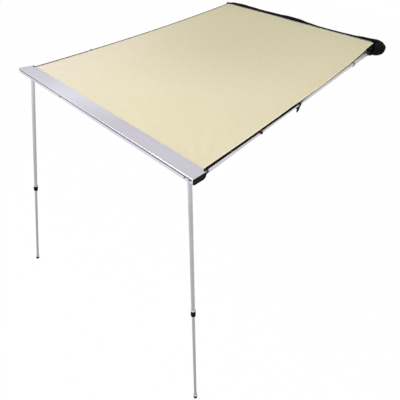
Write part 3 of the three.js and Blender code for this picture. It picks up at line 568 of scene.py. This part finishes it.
def grown(name, tree, lines, finish, **sizes):
    """The mesh that a tree grows along lines of points."""
    points = [tuple(map(float, p)) for line in lines for p in line]
    edges, first = [], 0
    for line in lines:
        edges += [(first + i, first + i + 1) for i in range(len(line) - 1)]
        first += len(line)
    mesh = bpy.data.meshes.new(name + "_lines")
    mesh.from_pydata(points, edges, [])
    source = bpy.data.objects.new(name + "_lines", mesh)
    scene.collection.objects.link(source)
    modifier = source.modifiers.new("rows", "NODES")
    modifier.node_group = tree
    values = sizes | {"Material": finish}
    for socket in tree.interface.items_tree:
        if socket.in_out == "INPUT" and socket.name in values:
            modifier[socket.identifier] = values[socket.name]
    source.update_tag()
    bpy.context.view_layer.update()
    graph = bpy.context.evaluated_depsgraph_get()
    result = bpy.data.meshes.new_from_object(source.evaluated_get(graph))
    bpy.data.objects.remove(source)
    made = bpy.data.objects.new(name, result)
    if not result.materials:
        result.materials.append(finish)
    scene.collection.objects.link(made)
    return made


# Cloth of the canopy

CLOTH_RUN = CLOTH_REAR[0] - CLOTH_FRONT[0]
CLOTH_RISE = CLOTH_REAR[1] - CLOTH_FRONT[1]
SLOPE = Vector((0.0, CLOTH_RUN, CLOTH_RISE)).normalized()
CLOTH_EDGE = 0.8620
TAPE_INNER = 0.8524
TAPE_OUTER = 0.8667
WAVE_HEIGHT = 0.0022
PULL_HEIGHT = 0.0016
wave_across = smooth_noise(11, 7)
wave_out = smooth_noise(12, 9)

# Right side edge, from the rail to the beam: how far it hangs over the arm, stands out, and rolls under
EDGE_SHARES = np.linspace(0, 1, 21)
EDGE_DROPS = np.array((0, 1.5, 3.5, 8, 11, 12, 12, 11, 10, 8, 5, 2.5, 0.5, 0, 0, 0, 0, 0, 0, 0, 0)) / 1000
EDGE_BOWS = np.array((0, 1.5, 3, 5.5, 8, 9.5, 10, 10.5, 11.5, 12, 12, 11, 9.5, 9, 8.2, 7, 6.4, 5.2, 3.4, 1.4,
                      0)) / 1000
EDGE_ROLLS = np.radians((0, 0, 55, 92, 106, 104, 108, 109, 108, 104, 98, 80, 45, 18, 5, 0, 0, 0, 0, 0, 0))


def share_out(y):
    """How far out a place is, from 0 at the rail to 1 at the beam."""
    return np.clip((CLOTH_REAR[0] - y) / CLOTH_RUN, 0, 1)


def cloth_height(x, y):
    """The height of the cloth's middle layer: its belly, soft waves, pulls that fan from its corners, and the
    drop of its right side edge."""
    across = np.minimum(1, np.abs(x) / CLOTH_HALF)
    out = share_out(y)
    sag = EDGE_SAG + (MIDDLE_SAG - EDGE_SAG) * (1 - across ** 2)
    height = CLOTH_REAR[1] - CLOTH_RISE * out - 4 * sag * out * (1 - out)
    calm = np.clip(out / 0.05, 0, 1) * np.clip((1 - out) / 0.05, 0, 1)
    waves = WAVE_HEIGHT * wave_across(0.5 + x / CLOTH_HALF / 2) * wave_out(out) * (1 - across ** 6)
    to_end = np.minimum(out, 1 - out) * CLOTH_RUN
    reach = np.hypot(1 - across, to_end / CLOTH_HALF)
    turn = np.arctan2(to_end, (1 - across) * CLOTH_HALF + 1e-6)
    pulls = PULL_HEIGHT * np.sin(turn * 14) * np.exp(-((reach - 0.22) / 0.16) ** 2)
    hang = np.interp(out, EDGE_SHARES, EDGE_DROPS) * np.clip((x / CLOTH_HALF - 0.84) / 0.16, 0, 1) ** 1.6
    return height - hang + calm * (waves + pulls * np.clip((1 - across) / 0.04, 0, 1))


def taken_in(x, y):
    """A place across the cloth: a little narrower at the beam, and bowed out along its right side."""
    out = share_out(y)
    bow = np.interp(out, EDGE_SHARES, EDGE_BOWS) * np.clip((x / CLOTH_HALF - 0.7) / 0.3, 0, 1) ** 2
    return x * (1 - out * CLOTH_TAPER / CLOTH_HALF) + bow


def on_cloth(x, y, lift):
    """Places on the cloth, lifted off its middle layer; past the side hems they follow the edge's roll."""
    x, y, lift = np.broadcast_arrays(*(np.asarray(v, float) for v in (x, y, lift)))
    kept = np.clip(x, -TAPE_INNER, TAPE_INNER)
    past = np.abs(x) - np.abs(kept)
    turn = np.interp(share_out(y), EDGE_SHARES, EDGE_ROLLS) * np.clip((x - TAPE_INNER) / 0.002, 0, 1)
    sideways = past * np.cos(turn) + lift * np.sin(turn)
    return np.stack([taken_in(kept, y) + np.sign(x) * sideways, y,
                     cloth_height(kept, y) - past * np.sin(turn) + lift * np.cos(turn)], -1)


def cloth_layer(xs, ys, lift, thickness):
    """A thin closed sheet over a grid of places, its middle lifted off the cloth's middle layer."""
    grid_x, grid_y = np.meshgrid(xs, ys)
    rows, count = grid_x.shape
    points = np.concatenate([on_cloth(grid_x, grid_y, lift + up * thickness / 2).reshape(-1, 3)
                             for up in (1, -1)])
    layer = rows * count
    faces = []
    for r in range(rows - 1):
        for c in range(count - 1):
            a, b = r * count + c, r * count + c + 1
            faces.append((a, b, b + count, a + count))
            faces.append((layer + a, layer + a + count, layer + b + count, layer + b))
    rim = ([r * count for r in range(rows)] + [(rows - 1) * count + c for c in range(1, count)]
           + [r * count + count - 1 for r in range(rows - 2, -1, -1)] + list(range(count - 2, 0, -1)))
    for a, b in zip(rim, rim[1:] + rim[:1]):
        faces.append((a, layer + a, layer + b, b))
    return points, faces


def goes_with_cloth(made, node=None):
    """Lets a piece sewn to the canopy stay with the rail on the root body, with a mesh of its own, and stand
    for a node where one is named.
    """
    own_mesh(settle(made, "root", node))
    return made


# The sheet has a close grid of points at its side edges, where it rolls under
edge_xs = np.array((0.849, TAPE_INNER, TAPE_INNER + 0.002, TAPE_INNER + 0.0055, CLOTH_EDGE))
cloth_xs = np.concatenate([-edge_xs[::-1], np.linspace(-0.840, 0.840, 77), edge_xs])
cloth_ys = np.linspace(CLOTH_REAR[0], CLOTH_FRONT[0], 109)
canopy = piece("canopy_sheet", *cloth_layer(cloth_xs, cloth_ys, 0.0, CLOTH_THICKNESS),
               FINISH["canopy_canvas"])
goes_with_cloth(canopy, "canopy_cloth")

# Hems: the cloth is turned over along all four sides and sewn down; the side and rear hems are in a
# lighter copy of the canvas, a painted highlight along the folded edges
FRONT_HEM_WIDTH = 0.016
SIDE_HEM_WIDTH = 0.009
REAR_HEM_WIDTH = 0.034
HEM_THICKNESS = 0.0009
HEM_LIFT = CLOTH_THICKNESS / 2 + HEM_THICKNESS / 2 - 0.0001
STITCH_LIFT = HEM_LIFT + HEM_THICKNESS / 2 + 0.0003
hem_pieces, seam_lines = [], []
hem_ys = np.linspace(CLOTH_REAR[0] - 0.004, CLOTH_FRONT[0] + 0.004, 150)
for side, sign in SIDES:
    hem_xs = sorted(sign * np.linspace(TAPE_INNER - SIDE_HEM_WIDTH, TAPE_INNER + 0.004, 5))
    hem_pieces.append(piece(f"canopy_side_hem_{side}", *cloth_layer(hem_xs, hem_ys, HEM_LIFT, HEM_THICKNESS),
                            HEM_CANVAS_PAINTED_HIGHLIGHT))
    seam_lines.append(on_cloth(sign * (TAPE_INNER - SIDE_HEM_WIDTH + 0.0025), hem_ys, STITCH_LIFT))
end_half = TAPE_INNER - FRONT_HEM_WIDTH - 0.002
end_xs = np.linspace(-end_half, end_half, 60)
bands = (("rear", CLOTH_REAR[0] - 0.003, -REAR_HEM_WIDTH, HEM_CANVAS_PAINTED_HIGHLIGHT),
         ("front", CLOTH_FRONT[0] + 0.003, FRONT_HEM_WIDTH, FINISH["canopy_canvas"]))
for end, first, width, finish in bands:
    band_ys = sorted(np.linspace(first, first + width, 5), reverse=True)
    hem_pieces.append(piece(f"canopy_{end}_hem", *cloth_layer(end_xs, band_ys, HEM_LIFT, HEM_THICKNESS),
                            finish))
for row in (CLOTH_REAR[0] - REAR_HEM_WIDTH, CLOTH_FRONT[0] + FRONT_HEM_WIDTH):
    seam_lines.append(on_cloth(end_xs, row, STITCH_LIFT))
hem_pieces.append(grown("canopy_hem_stitches", STITCHES, seam_lines, SEWING_THREAD,
                        Spacing=0.007, Length=0.0052, Width=0.0011, Height=0.0007, Jitter=0.06))

# Binding: black tape folded over each side edge, with a row of stitches near its inner edge
TAPE_WALL = 0.0010
TAPE_HALF = 0.0019
BLACK_STITCH = {"Spacing": 0.006, "Length": 0.0044, "Width": 0.0009, "Height": 0.0006, "Jitter": 0.05}


def tape_section(sign):
    """The folded tape's section in X and height: a U that opens towards the middle of the cloth."""
    made = []
    for half, steps, turn in ((TAPE_HALF, 9, 1), (TAPE_HALF - TAPE_WALL, 7, -1)):
        bend = [(TAPE_OUTER - TAPE_HALF + half * math.cos(a), half * math.sin(a))
                for a in turn * np.linspace(math.pi / 2, -math.pi / 2, steps)]
        made += [(TAPE_INNER, turn * half)] + bend + [(TAPE_INNER, -turn * half)]
    return np.array([(sign * x, z) for x, z in made])


tape_ys = np.linspace(-0.0256, -2.4004, 160)
for side, sign in SIDES:
    section = tape_section(sign)
    rings = [on_cloth(section[:, 0], y, section[:, 1]) for y in tape_ys]
    goes_with_cloth(piece(f"canopy_edge_tape_{side}", *skin(rings), FINISH["binding_tape"]),
                    f"canopy_binding_{side}")
    tape_lines = [on_cloth(sign * (TAPE_INNER + 0.003), tape_ys, up * (TAPE_HALF + 0.0002)) for up in (1, -1)]
    goes_with_cloth(grown(f"canopy_edge_stitches_{side}", STITCHES, tape_lines, BLACK_THREAD, **BLACK_STITCH))

for made in hem_pieces:
    goes_with_cloth(made)

# Tie tabs: a brown webbing loop sewn under each side edge, the right one on the rolled edge leaning out more
TAB_OUT = 1.905
TAB_HALF = 0.0030
TAB_DROP = 0.0042
TAB_LEANS = {"right": 0.0022, "left": 0.0006}
tab_y = CLOTH_REAR[0] - TAB_OUT * SLOPE.y
for side, sign in SIDES:
    tab_x, _, tab_z = on_cloth(sign * TAPE_OUTER, tab_y, 0.0)
    drop = [(tab_x + sign * (TAB_LEANS[side] + TAB_HALF * math.sin(a)), tab_y,
             tab_z - 0.0006 - TAB_DROP * (1 - math.cos(a)))
            for a in np.linspace(0.0, math.tau, 28, endpoint=False)]
    goes_with_cloth(piece(f"canopy_tie_tab_{side}",
                          *swept_round(drop, loop(0.018, 0.0016, 0.0007), up=(0, 1, 0)), TIE_WEBBING))


# Cover: the upper flap lies bunched on the rail and over the right end panel's crown

COVER_FOOT = RAIL_TOP + 0.0003
FOLD_HALF = 0.876
FOLD_END = 0.052
FOLD_BASE = 0.015
FOLD_FRONT = 0.036
FOLD_BACK = 0.002
FOLD_LIP = 0.0062
FOLD_HEIGHTS = (0.15, 1.2, 1.45, 1.3, 1.05, 1.15, 1.25, 1.6, 1.5, 0.85, 0.35, 0.3, 0.35, 0.55, 1.05, 1.4)
FOLD_LEANS = (0.90, 1.0, 1.05, 1.0, 0.97, 0.96, 0.97, 1.05, 1.1, 1.0, 0.95, 0.95, 0.95, 0.97, 1.0, 1.1)
FOLD_SECTION = ((0.0, 0.0), (0.34, 0.02), (0.72, 0.06), (0.96, 0.3), (1.0, 0.58), (0.88, 0.86),
                (0.62, 1.0), (0.36, 0.94), (0.14, 0.72), (0.03, 0.4))


def rounded_section(corners, steps):
    """A smooth closed curve through corners, by Catmull and Rom's rule."""
    corners = np.asarray(corners, float)
    count = len(corners)
    made = []
    for i in range(count):
        a, b, c, d = (corners[(i + k) % count] for k in (-1, 0, 1, 2))
        for f in np.linspace(0, 1, steps, endpoint=False):
            made.append(0.5 * (2 * b + (c - a) * f + (2 * a - 5 * b + 4 * c - d) * f ** 2
                               + (3 * b - a - 3 * c + d) * f ** 3))
    return np.array(made)


fold_curve = rounded_section(FOLD_SECTION, 6)
fold_ridge = [smooth_noise(30 + i, 26) for i in range(5)]


def panel_top(x):
    """The height of the right end panel's crown at a place along X."""
    shape = PANELS["right"]
    share = min(max((x - PANEL_START) / shape["bulge"], 0.0), 0.999)
    return shape["middle"][1] + shape["high"] * (1 - share ** (1 / 0.55)) ** (1 / 2.7)


def fold_ring(x, t, base, height, front):
    """The bunched flap's section at one place: crumpled, with a lip that hangs over the rail's front edge."""
    ring = []
    for k, (a, b) in enumerate(fold_curve):
        turn = math.tau * k / len(fold_curve)
        crumple = sum(0.022 * fold_ridge[i](t) * math.sin((i + 2) * turn + 3.1 * i + 5 * t) for i in range(5))
        pleat = 0.05 * math.sin(7 * turn + 9 * math.sin(5 * t)) * np.clip(b * 3, 0, 1)
        share = 1 + float(crumple) + pleat
        y = -FOLD_BACK - a * (front - FOLD_BACK) * (1 + 0.5 * (share - 1))
        lip = FOLD_LIP * np.clip((-y - RAIL_DEPTH - 0.0006) / 0.004, 0, 1) * (1 - np.clip(b, 0, 1)) ** 2
        ring.append((x, y, base + b * height * share - lip))
    return ring


fold_rings = [fold_ring((2 * t - 1) * FOLD_HALF, t, COVER_FOOT, FOLD_BASE * eased(FOLD_HEIGHTS, t),
                        FOLD_FRONT * eased(FOLD_LEANS, t)) for t in np.linspace(0, 1, 240)]
last_top = COVER_FOOT + FOLD_BASE * FOLD_HEIGHTS[-1]
for u in np.linspace(0, 1, 16)[1:]:
    x = FOLD_HALF + FOLD_END * u
    start_share = math.exp(-(u / 0.34) ** 2)
    top = (panel_top(x) + 0.0012) * (1 - start_share) + last_top * start_share
    base = COVER_FOOT - 0.002 * u
    fold_rings.append(fold_ring(x, 1.0, base, top - base, FOLD_FRONT * FOLD_LEANS[-1] * (1 + 0.25 * u)))
fitted("cover_bunched_flap", skin(fold_rings), "root", "cover_vinyl", "cover_upper_flap", sharp=60.0)

# Lower flap: flat under the rail, then hanging forward as a part of the cover's round section
FLAP_ANGLES = (-1.10, -1.90)
FLAP_FOOT = (-0.0035, -0.0155)
FLAP_THICKNESS = 0.0016
flap_wave = [smooth_noise(50 + i, 14) for i in range(3)]


def cover_spot(angle, radius):
    """A place in Y and Z at an angle of the cover's round section."""
    return COVER_CENTRE[0] + radius * math.cos(angle), COVER_CENTRE[1] + radius * math.sin(angle)


def flap_path(t, depth):
    """The flap's section at a share t along the rail, at a depth in from its outside."""
    foot = COVER_FOOT + FLAP_THICKNESS - depth
    made = [(y - depth, -foot) for y in np.linspace(FLAP_FOOT[0] + depth, FLAP_FOOT[1], 5)]
    angles = np.linspace(*FLAP_ANGLES, 30)
    for angle, share in zip(angles, np.linspace(0, 1, len(angles))):
        ripple = sum(0.0007 * flap_wave[k](t) * math.sin((k + 1) * math.pi * share) for k in range(3))
        made.append(cover_spot(angle, COVER_RADIUS - depth + math.sin(math.pi * share) * ripple))
    return made


flap_rings = [[((2 * t - 1) * FLAP_HALF, y, z)
               for y, z in flap_path(t, 0.0) + flap_path(t, FLAP_THICKNESS)[::-1]]
              for t in np.linspace(0, 1, 150)]
flap = fitted("cover_hanging_flap", skin(flap_rings), "root", "cover_vinyl", "cover_lower_flap", sharp=60.0)

# Zip half on the hanging flap: tape, coil teeth, and the two rows that sew it down
ZIP_ANGLE = 0.014 / COVER_RADIUS
ZIP_END = FLAP_ANGLES[1]


def cover_line(angle, lift):
    """A straight line along the cover at an angle of its round section, lifted off it."""
    return [(x, *cover_spot(angle, COVER_RADIUS + lift)) for x in np.linspace(-FLAP_HALF, FLAP_HALF, 40)]


zip_angles = np.linspace(ZIP_END + ZIP_ANGLE, ZIP_END, 9)
zip_section = ([cover_spot(a, COVER_RADIUS + 0.0015) for a in zip_angles]
               + [cover_spot(a, COVER_RADIUS + 0.0003) for a in zip_angles[::-1]])
zip_rings = [[(x, y, z) for y, z in zip_section] for x in np.linspace(-FLAP_HALF, FLAP_HALF, 60)]
fitted("zip_tape_strip", skin(zip_rings), "root", "zip_nylon", "zip_tape_lower")
settle(grown("zip_coil_teeth", BLOCKS, [cover_line(ZIP_END + 0.012, 0.0018)], ZIP_COIL, Spacing=0.0036,
             Length=0.0019, Width=0.0045, Height=0.0014, Facing=(0.0, math.cos(ZIP_END), math.sin(ZIP_END))),
       "root")
zip_seams = [cover_line(ZIP_END + ZIP_ANGLE * share, 0.0017) for share in (0.62, 0.88)]
settle(grown("zip_stitches", STITCHES, zip_seams, BLACK_THREAD, **BLACK_STITCH), "root")

# Strip that clamps the flap under the rail, with its rivets
STRIP_Y = -0.0095
STRIP_TOP = -(COVER_FOOT + FLAP_THICKNESS + 0.0001)
strip_path = [(x, STRIP_Y, STRIP_TOP - 0.0011) for x in np.linspace(-0.863, 0.863, 8)]
fitted("cover_clamp_strip", swept(strip_path, loop(0.011, 0.0022, 0.0007)), "root", "rail_aluminium")
rivet_line = [(x, STRIP_Y, STRIP_TOP - 0.0024) for x in (-0.845, 0.845)]
settle(grown("cover_strip_rivets", STITCHES, [rivet_line], FINISH["zinc_steel"],
             Spacing=0.1408, Length=0.007, Width=0.007, Height=0.0026), "root")


# End panels: soft stitched ends of the same coated fabric, with a piped rim. The left one has slumped.

PANEL_SHARES = (1.0, 0.998, 0.992, 0.98, 0.96, 0.93, 0.89, 0.84, 0.79, 0.75, 0.72, 0.69, 0.64, 0.56, 0.46,
                0.35, 0.23, 0.1, 0.0)
PANEL_BACK = -0.001
PANEL_WALL = 0.003
SEAM_SHARE = 0.89


def panel_ring(shape, share, x, inset=0.0, steps=60):
    """A ring of an end panel at a share of its size, with its flat back, at one place along X."""
    middle_y, middle_z = shape["middle"]
    cut = math.acos((PANEL_BACK - middle_y) / shape["deep"])
    size = max(share, 0.015)
    ring = []
    for a in np.linspace(cut, math.tau - cut, steps):
        pucker = 1 + 0.022 * math.sin(11 * a) * math.exp(-((share - 0.85) / 0.16) ** 2)
        ring.append((x, middle_y + size * pucker * (shape["deep"] - inset) * math.cos(a),
                     middle_z + size * pucker * (shape["high"] - inset) * math.sin(a)))
    return ring


def panel_depth(share, bulge):
    """How far a panel stands out at a share of its size, with a shallow crease inside its rim."""
    crown = max(0.0, 1 - share ** 2.7) ** 0.55
    return bulge * crown - 0.0022 * math.exp(-((share - 0.72) / 0.035) ** 2)


for side, sign in SIDES:
    shape = PANELS[side]
    bulge = shape["bulge"]
    outer = [panel_ring(shape, s, PANEL_START + panel_depth(s, bulge)) for s in PANEL_SHARES]
    inner = [panel_ring(shape, s, PANEL_START + panel_depth(s, bulge - PANEL_WALL), PANEL_WALL)
             for s in PANEL_SHARES[::-1]]
    rings = [[(sign * x, y, z) for x, y, z in ring] for ring in inner + outer]
    fitted(f"cover_end_dome_{side}", skin(rings), "root", "cover_vinyl", f"cover_end_panel_{side}",
           sharp=60.0)
    rim = [(sign * x, y, z) for x, y, z in panel_ring(shape, 1.0, PANEL_START + 0.003, -0.0005)]
    fitted(f"cover_end_piping_{side}", swept_round(rim, circle(0.0026, 10), up=(1, 0, 0)), "root",
           "cover_vinyl", finish=FINISH["binding_tape"], sharp=60.0)
    seam_x = PANEL_START + panel_depth(SEAM_SHARE, bulge)
    seam = [(sign * (x + 0.0004), y, z) for x, y, z in panel_ring(shape, SEAM_SHARE, seam_x, steps=90)]
    settle(grown(f"cover_end_stitches_{side}", STITCHES, [seam], BLACK_THREAD, Spacing=0.006, Length=0.0044,
                 Width=0.0010, Height=0.0008, Facing=(sign, 0.0, 0.0), Jitter=0.05), "root")


# End flanges: the cover's fabric tucked round the rail's front corners, each held by a polished rivet
# whose pale dome stands for a glint, a painted highlight
FLANGE_X = 0.8555
FLANGE_WIDTH = 0.0590
RIVET_PLACE = (0.8775, -RAIL_DEPTH - 0.0024, 0.034)
RIVET_PROFILE = [(0.0, -0.001), (0.0052, -0.001), (0.0052, 0.0004), (0.0042, 0.0019), (0.0022, 0.0027),
                 (0.0, 0.0029)]
for side, sign in SIDES:
    flange_path = [(sign * FLANGE_X, -RAIL_DEPTH - 0.0016 - 0.0006 * math.sin(60 * z), z)
                   for z in np.linspace(-0.047, 0.045, 24)]
    fitted(f"cover_end_flange_{side}", swept(flange_path, loop(FLANGE_WIDTH, 0.0018, 0.0007), (0, -1, 0)),
           "root", "cover_vinyl", sharp=60.0)
    rivet = turned(RIVET_PROFILE, (sign * RIVET_PLACE[0], *RIVET_PLACE[1:]), (0, -1, 0.35), 24)
    fitted(f"cover_end_glint_rivet_{side}", rivet, "root", "zinc_steel", finish=POLISHED_PAINTED_HIGHLIGHT)


# Arms: a ring at each sleeve's end, a dark olive cuff on its knuckle that stands for the shade there
# (painted shade), and a pad on its clamp lever

ARM_AHEAD = (0.0, -math.cos(ARM_PITCH), -math.sin(ARM_PITCH))
SLEEVE_OUTSIDE = SLEEVE_RADIUS + 0.0002
ARM_OUTSIDE = ARM_RADIUS + 0.0003
RING_PROFILE = [(SLEEVE_OUTSIDE, -0.010), (SLEEVE_OUTSIDE + 0.0012, -0.009), (SLEEVE_OUTSIDE + 0.0016, 0.002),
                (SLEEVE_OUTSIDE + 0.0002, 0.0055), (ARM_OUTSIDE + 0.0005, 0.007), (ARM_OUTSIDE, 0.006),
                (ARM_OUTSIDE, 0.0004), (SLEEVE_OUTSIDE, 0.0004), (SLEEVE_OUTSIDE, -0.010)]
CUFF_START = 0.024
CUFF_PROFILE = [(SLEEVE_OUTSIDE, 0.0), (SLEEVE_OUTSIDE + 0.001, 0.001), (SLEEVE_OUTSIDE + 0.001, 0.069),
                (SLEEVE_OUTSIDE, 0.070), (SLEEVE_OUTSIDE, 0.0)]
PAD_X = ARM_X + 0.0102
PAD_POINTS = ((0.003, 0.018), (0.002, 0.011), (0.001, 0.004), (0.0, -0.003), (0.0, -0.010), (0.001, -0.018))


def arm_place(sign, distance):
    """A point of an arm's line, by its distance from the pivot."""
    return Vector((sign * ARM_X, ARM_PIVOT[0] - distance * math.cos(ARM_PITCH),
                   ARM_PIVOT[1] - distance * math.sin(ARM_PITCH)))


for side, sign in SIDES:
    fitted(f"arm_sleeve_ring_{side}", turned(RING_PROFILE, arm_place(sign, SLEEVE_END), ARM_AHEAD, 36),
           f"arm_{side}_outer", "tan_nylon")
    fitted(f"arm_knuckle_shade_cuff_{side}", turned(CUFF_PROFILE, arm_place(sign, CUFF_START), ARM_AHEAD, 36),
           f"arm_{side}_outer", "dark_steel", finish=OLIVE_PAINTED_SHADE_STEEL)
    pad_path = [(sign * PAD_X, LEVER_PIVOT[0] + y, LEVER_PIVOT[1] + z) for y, z in PAD_POINTS]
    fitted(f"arm_lever_pad_{side}", swept(pad_path, loop(0.0092, 0.0290, 0.0034, 4), up=(0, 1, 0)),
           f"arm_{side}_clamp_lever", "dark_steel", finish=FINISH["black_plastic"])


# Beam trims: a bright bead along its front top edge and bright end rims, pale polished pieces that stand
# for the edges' highlights (painted highlight), and a dark strip in its groove that stands for the shade
# in it (painted shade)
RIM_POINTS = ((BEAM_FRONT + 0.0011, BEAM_TOP - 0.032), (BEAM_FRONT + 0.0011, BEAM_TOP - 0.016),
              (BEAM_FRONT + 0.0011, BEAM_TOP - 0.0022), (BEAM_FRONT + 0.0022, BEAM_TOP - 0.0011),
              (BEAM_FRONT + 0.020, BEAM_TOP - 0.0011), (BEAM_FRONT + 0.060, BEAM_TOP - 0.0011),
              (BEAM_BACK - 0.004, BEAM_TOP - 0.0011))
bead_half = BEAM_HALF + 0.004
bead_path = [(x, BEAM_FRONT + 0.0006, BEAM_TOP - 0.0008) for x in np.linspace(-bead_half, bead_half, 30)]
fitted("beam_front_highlight_bead", swept(bead_path, circle(0.0014, 12)), "beam", "rail_aluminium", finish=POLISHED_PAINTED_HIGHLIGHT)
# painted shade: the groove strip stands for the shade in the groove
groove_path = [(x, BEAM_FRONT + 0.0013, BEAM_TOP - GROOVE_MIDDLE)
               for x in np.linspace(-BEAM_HALF, BEAM_HALF, 30)]
fitted("beam_groove_shade_strip", swept(groove_path, loop(0.0024, 0.0060, 0.0006)), "beam", "cap_plastic",
       finish=GROOVE_PAINTED_SHADE)
for side, sign in SIDES:
    rim_path = [(sign * (BEAM_HALF + 0.0025), y, z) for y, z in RIM_POINTS]
    fitted(f"beam_end_highlight_rim_{side}", swept(rim_path, loop(0.0019, 0.0046, 0.0004), up=(sign, 0, 0)),
           "beam", "rail_aluminium", finish=POLISHED_PAINTED_HIGHLIGHT)

# Corner plugs: round black knobs that stop the canopy's edge tapes at the beam
KNOB_X = {"right": 0.8580, "left": -0.8460}
KNOB_PROFILE = [(0.0, -0.004), (0.0030, -0.004), (0.0032, 0.0), (0.0066, 0.0003), (0.0078, 0.0011),
                (0.0080, 0.0022), (0.0070, 0.0032), (0.0045, 0.0038), (0.0, 0.0040)]
for side, x in KNOB_X.items():
    knob = turned(KNOB_PROFILE, (x, BEAM_BACK - 0.006, BEAM_TOP), (0, 0, 1), 28)
    fitted(f"beam_corner_knob_{side}", knob, "beam", "black_plastic")


# Legs: pale rings above and below each twist collar, its grip ribs, and a boot and a pale lip round each foot

RING_SPANS = ((-0.0345, -0.0265, LEG_RADIUS + 0.0004), (0.0265, 0.033, LEG_RADIUS - 0.0013))
RIB_COUNT = 20
BOOT_PROFILE = [(0.0145, -0.0085), (0.0160, -0.0080), (0.0166, -0.0020), (0.0166, 0.0220), (0.0150, 0.0290),
                (0.0078, 0.0300), (0.0136, 0.0100), (0.0145, 0.0), (0.0145, -0.0085)]
LIP_PROFILE = [(0.0143, -0.0125), (0.0168, -0.0122), (0.0178, -0.0108), (0.0168, -0.0090), (0.0143, -0.0088),
               (0.0143, -0.0125)]


def leg_line(side, sign):
    """The fold bolt's place and the leg's downward direction."""
    facts = LEGS[side]
    tilt, splay = facts["tilt"], facts["splay"]
    x, y, z = facts["pivot"]
    bolt = Vector((x, y - FOLD_DROP * math.sin(tilt), z - FOLD_DROP * math.cos(tilt)))
    level = math.cos(splay)
    return bolt, Vector((sign * math.sin(splay), -level * math.sin(tilt), -level * math.cos(tilt)))


for side, sign in SIDES:
    bolt, down = leg_line(side, sign)
    across = down.orthogonal().normalized()
    around = down.cross(across)
    collar, end = bolt + down * COLLAR_PLACE, bolt + down * LEG_END
    rings = [turned([(bore, low), (bore + 0.0025, low), (bore + 0.0038, low + 0.001),
                     (bore + 0.0038, high - 0.001), (bore + 0.0025, high), (bore, high), (bore, low)],
                    collar, down) for low, high, bore in RING_SPANS]
    fitted(f"leg_collar_rings_{side}", joined(*rings), f"leg_{side}_twist_collar", "white_nylon")
    grip = [collar + (across * math.cos(a) + around * math.sin(a)) * COLLAR_RADIUS
            for a in np.linspace(0, math.tau, 49)]
    settle(grown(f"leg_collar_ribs_{side}", BLOCKS, [grip], FINISH["collar_nylon"],
                 Spacing=math.tau * COLLAR_RADIUS / RIB_COUNT, Length=0.0022, Width=0.0018, Height=0.036,
                 Facing=tuple(down)), f"leg_{side}_twist_collar")
    fitted(f"leg_foot_boot_{side}", turned(BOOT_PROFILE, end, down), f"leg_{side}_lower", "foot_rubber")
    fitted(f"leg_foot_lip_{side}", turned(LIP_PROFILE, end, down), f"leg_{side}_lower", "white_nylon")


# Floor and light: a white studio floor, a soft sky all round and four lamps, by place, size and power

FLOOR_REACH = 30.0
LAMPS = {
    "key_lamp": ((-1.7, -4.6, 3.0), 2.6, 175.0),
    "left_lamp": ((-3.6, -0.7, 1.3), 2.2, 1.4),
    "front_lamp": ((-0.5, -5.6, -0.6), 2.0, 14.0),
    "fill_lamp": ((3.2, -1.4, 3.6), 3.0, 80.0),
}
LAMP_AIM = (0.0, -1.3, -0.4)


def build_floor():
    """A floor that lights like matt white paint and looks pure white to the camera."""
    finish = bpy.data.materials.new("white_studio_floor")
    finish.use_nodes = True
    tree = finish.node_tree
    shader = tree.nodes["Principled BSDF"]
    shader.inputs["Base Color"].default_value = linear("#f4f4f4")
    shader.inputs["Roughness"].default_value = 0.9
    path = add(tree, "ShaderNodeLightPath").outputs
    seen = maths(tree, "MAXIMUM", path["Is Camera Ray"], path["Is Glossy Ray"])
    white = add(tree, "ShaderNodeEmission", {"Color": (1, 1, 1, 1), "Strength": 1.0})
    mixed = add(tree, "ShaderNodeMixShader", {},
                {0: maths(tree, "MULTIPLY", seen, 0.99), 1: shader.outputs[0], 2: white.outputs[0]})
    tree.links.new(mixed.outputs[0], tree.nodes["Material Output"].inputs["Surface"])
    mesh = bpy.data.meshes.new("studio_floor")
    corners = [(x * FLOOR_REACH, y * FLOOR_REACH, GROUND) for x, y in ((-1, -1), (1, -1), (1, 1), (-1, 1))]
    mesh.from_pydata(corners, [], [(0, 1, 2, 3)])
    mesh.materials.append(finish)
    floor = bpy.data.objects.new("studio_floor", mesh)
    scene.collection.objects.link(floor)


def build_light():
    """A sky that is bright to the camera and softer in what it lights, and the lamps."""
    world = bpy.data.worlds.new("soft_sky")
    world.use_nodes = True
    scene.world = world
    sky = world.node_tree
    background = sky.nodes["Background"]
    background.inputs["Color"].default_value = (1, 1, 1, 1)
    path = add(sky, "ShaderNodeLightPath").outputs
    seen = maths(sky, "MAXIMUM", path["Is Camera Ray"], maths(sky, "MULTIPLY", path["Is Glossy Ray"], 0.45))
    sky.links.new(ranged(sky, seen, 0.0, 1.0, 0.50, 1.0), background.inputs["Strength"])
    for name, (place, size, power) in LAMPS.items():
        lamp = bpy.data.lights.new(name, "AREA")
        lamp.shape = "SQUARE"
        lamp.size = size
        lamp.energy = power
        holder = bpy.data.objects.new(name, lamp)
        holder.location = place
        holder.rotation_euler = (Vector(LAMP_AIM) - Vector(place)).to_track_quat("-Z", "Y").to_euler()
        scene.collection.objects.link(holder)


build_floor()
build_light()
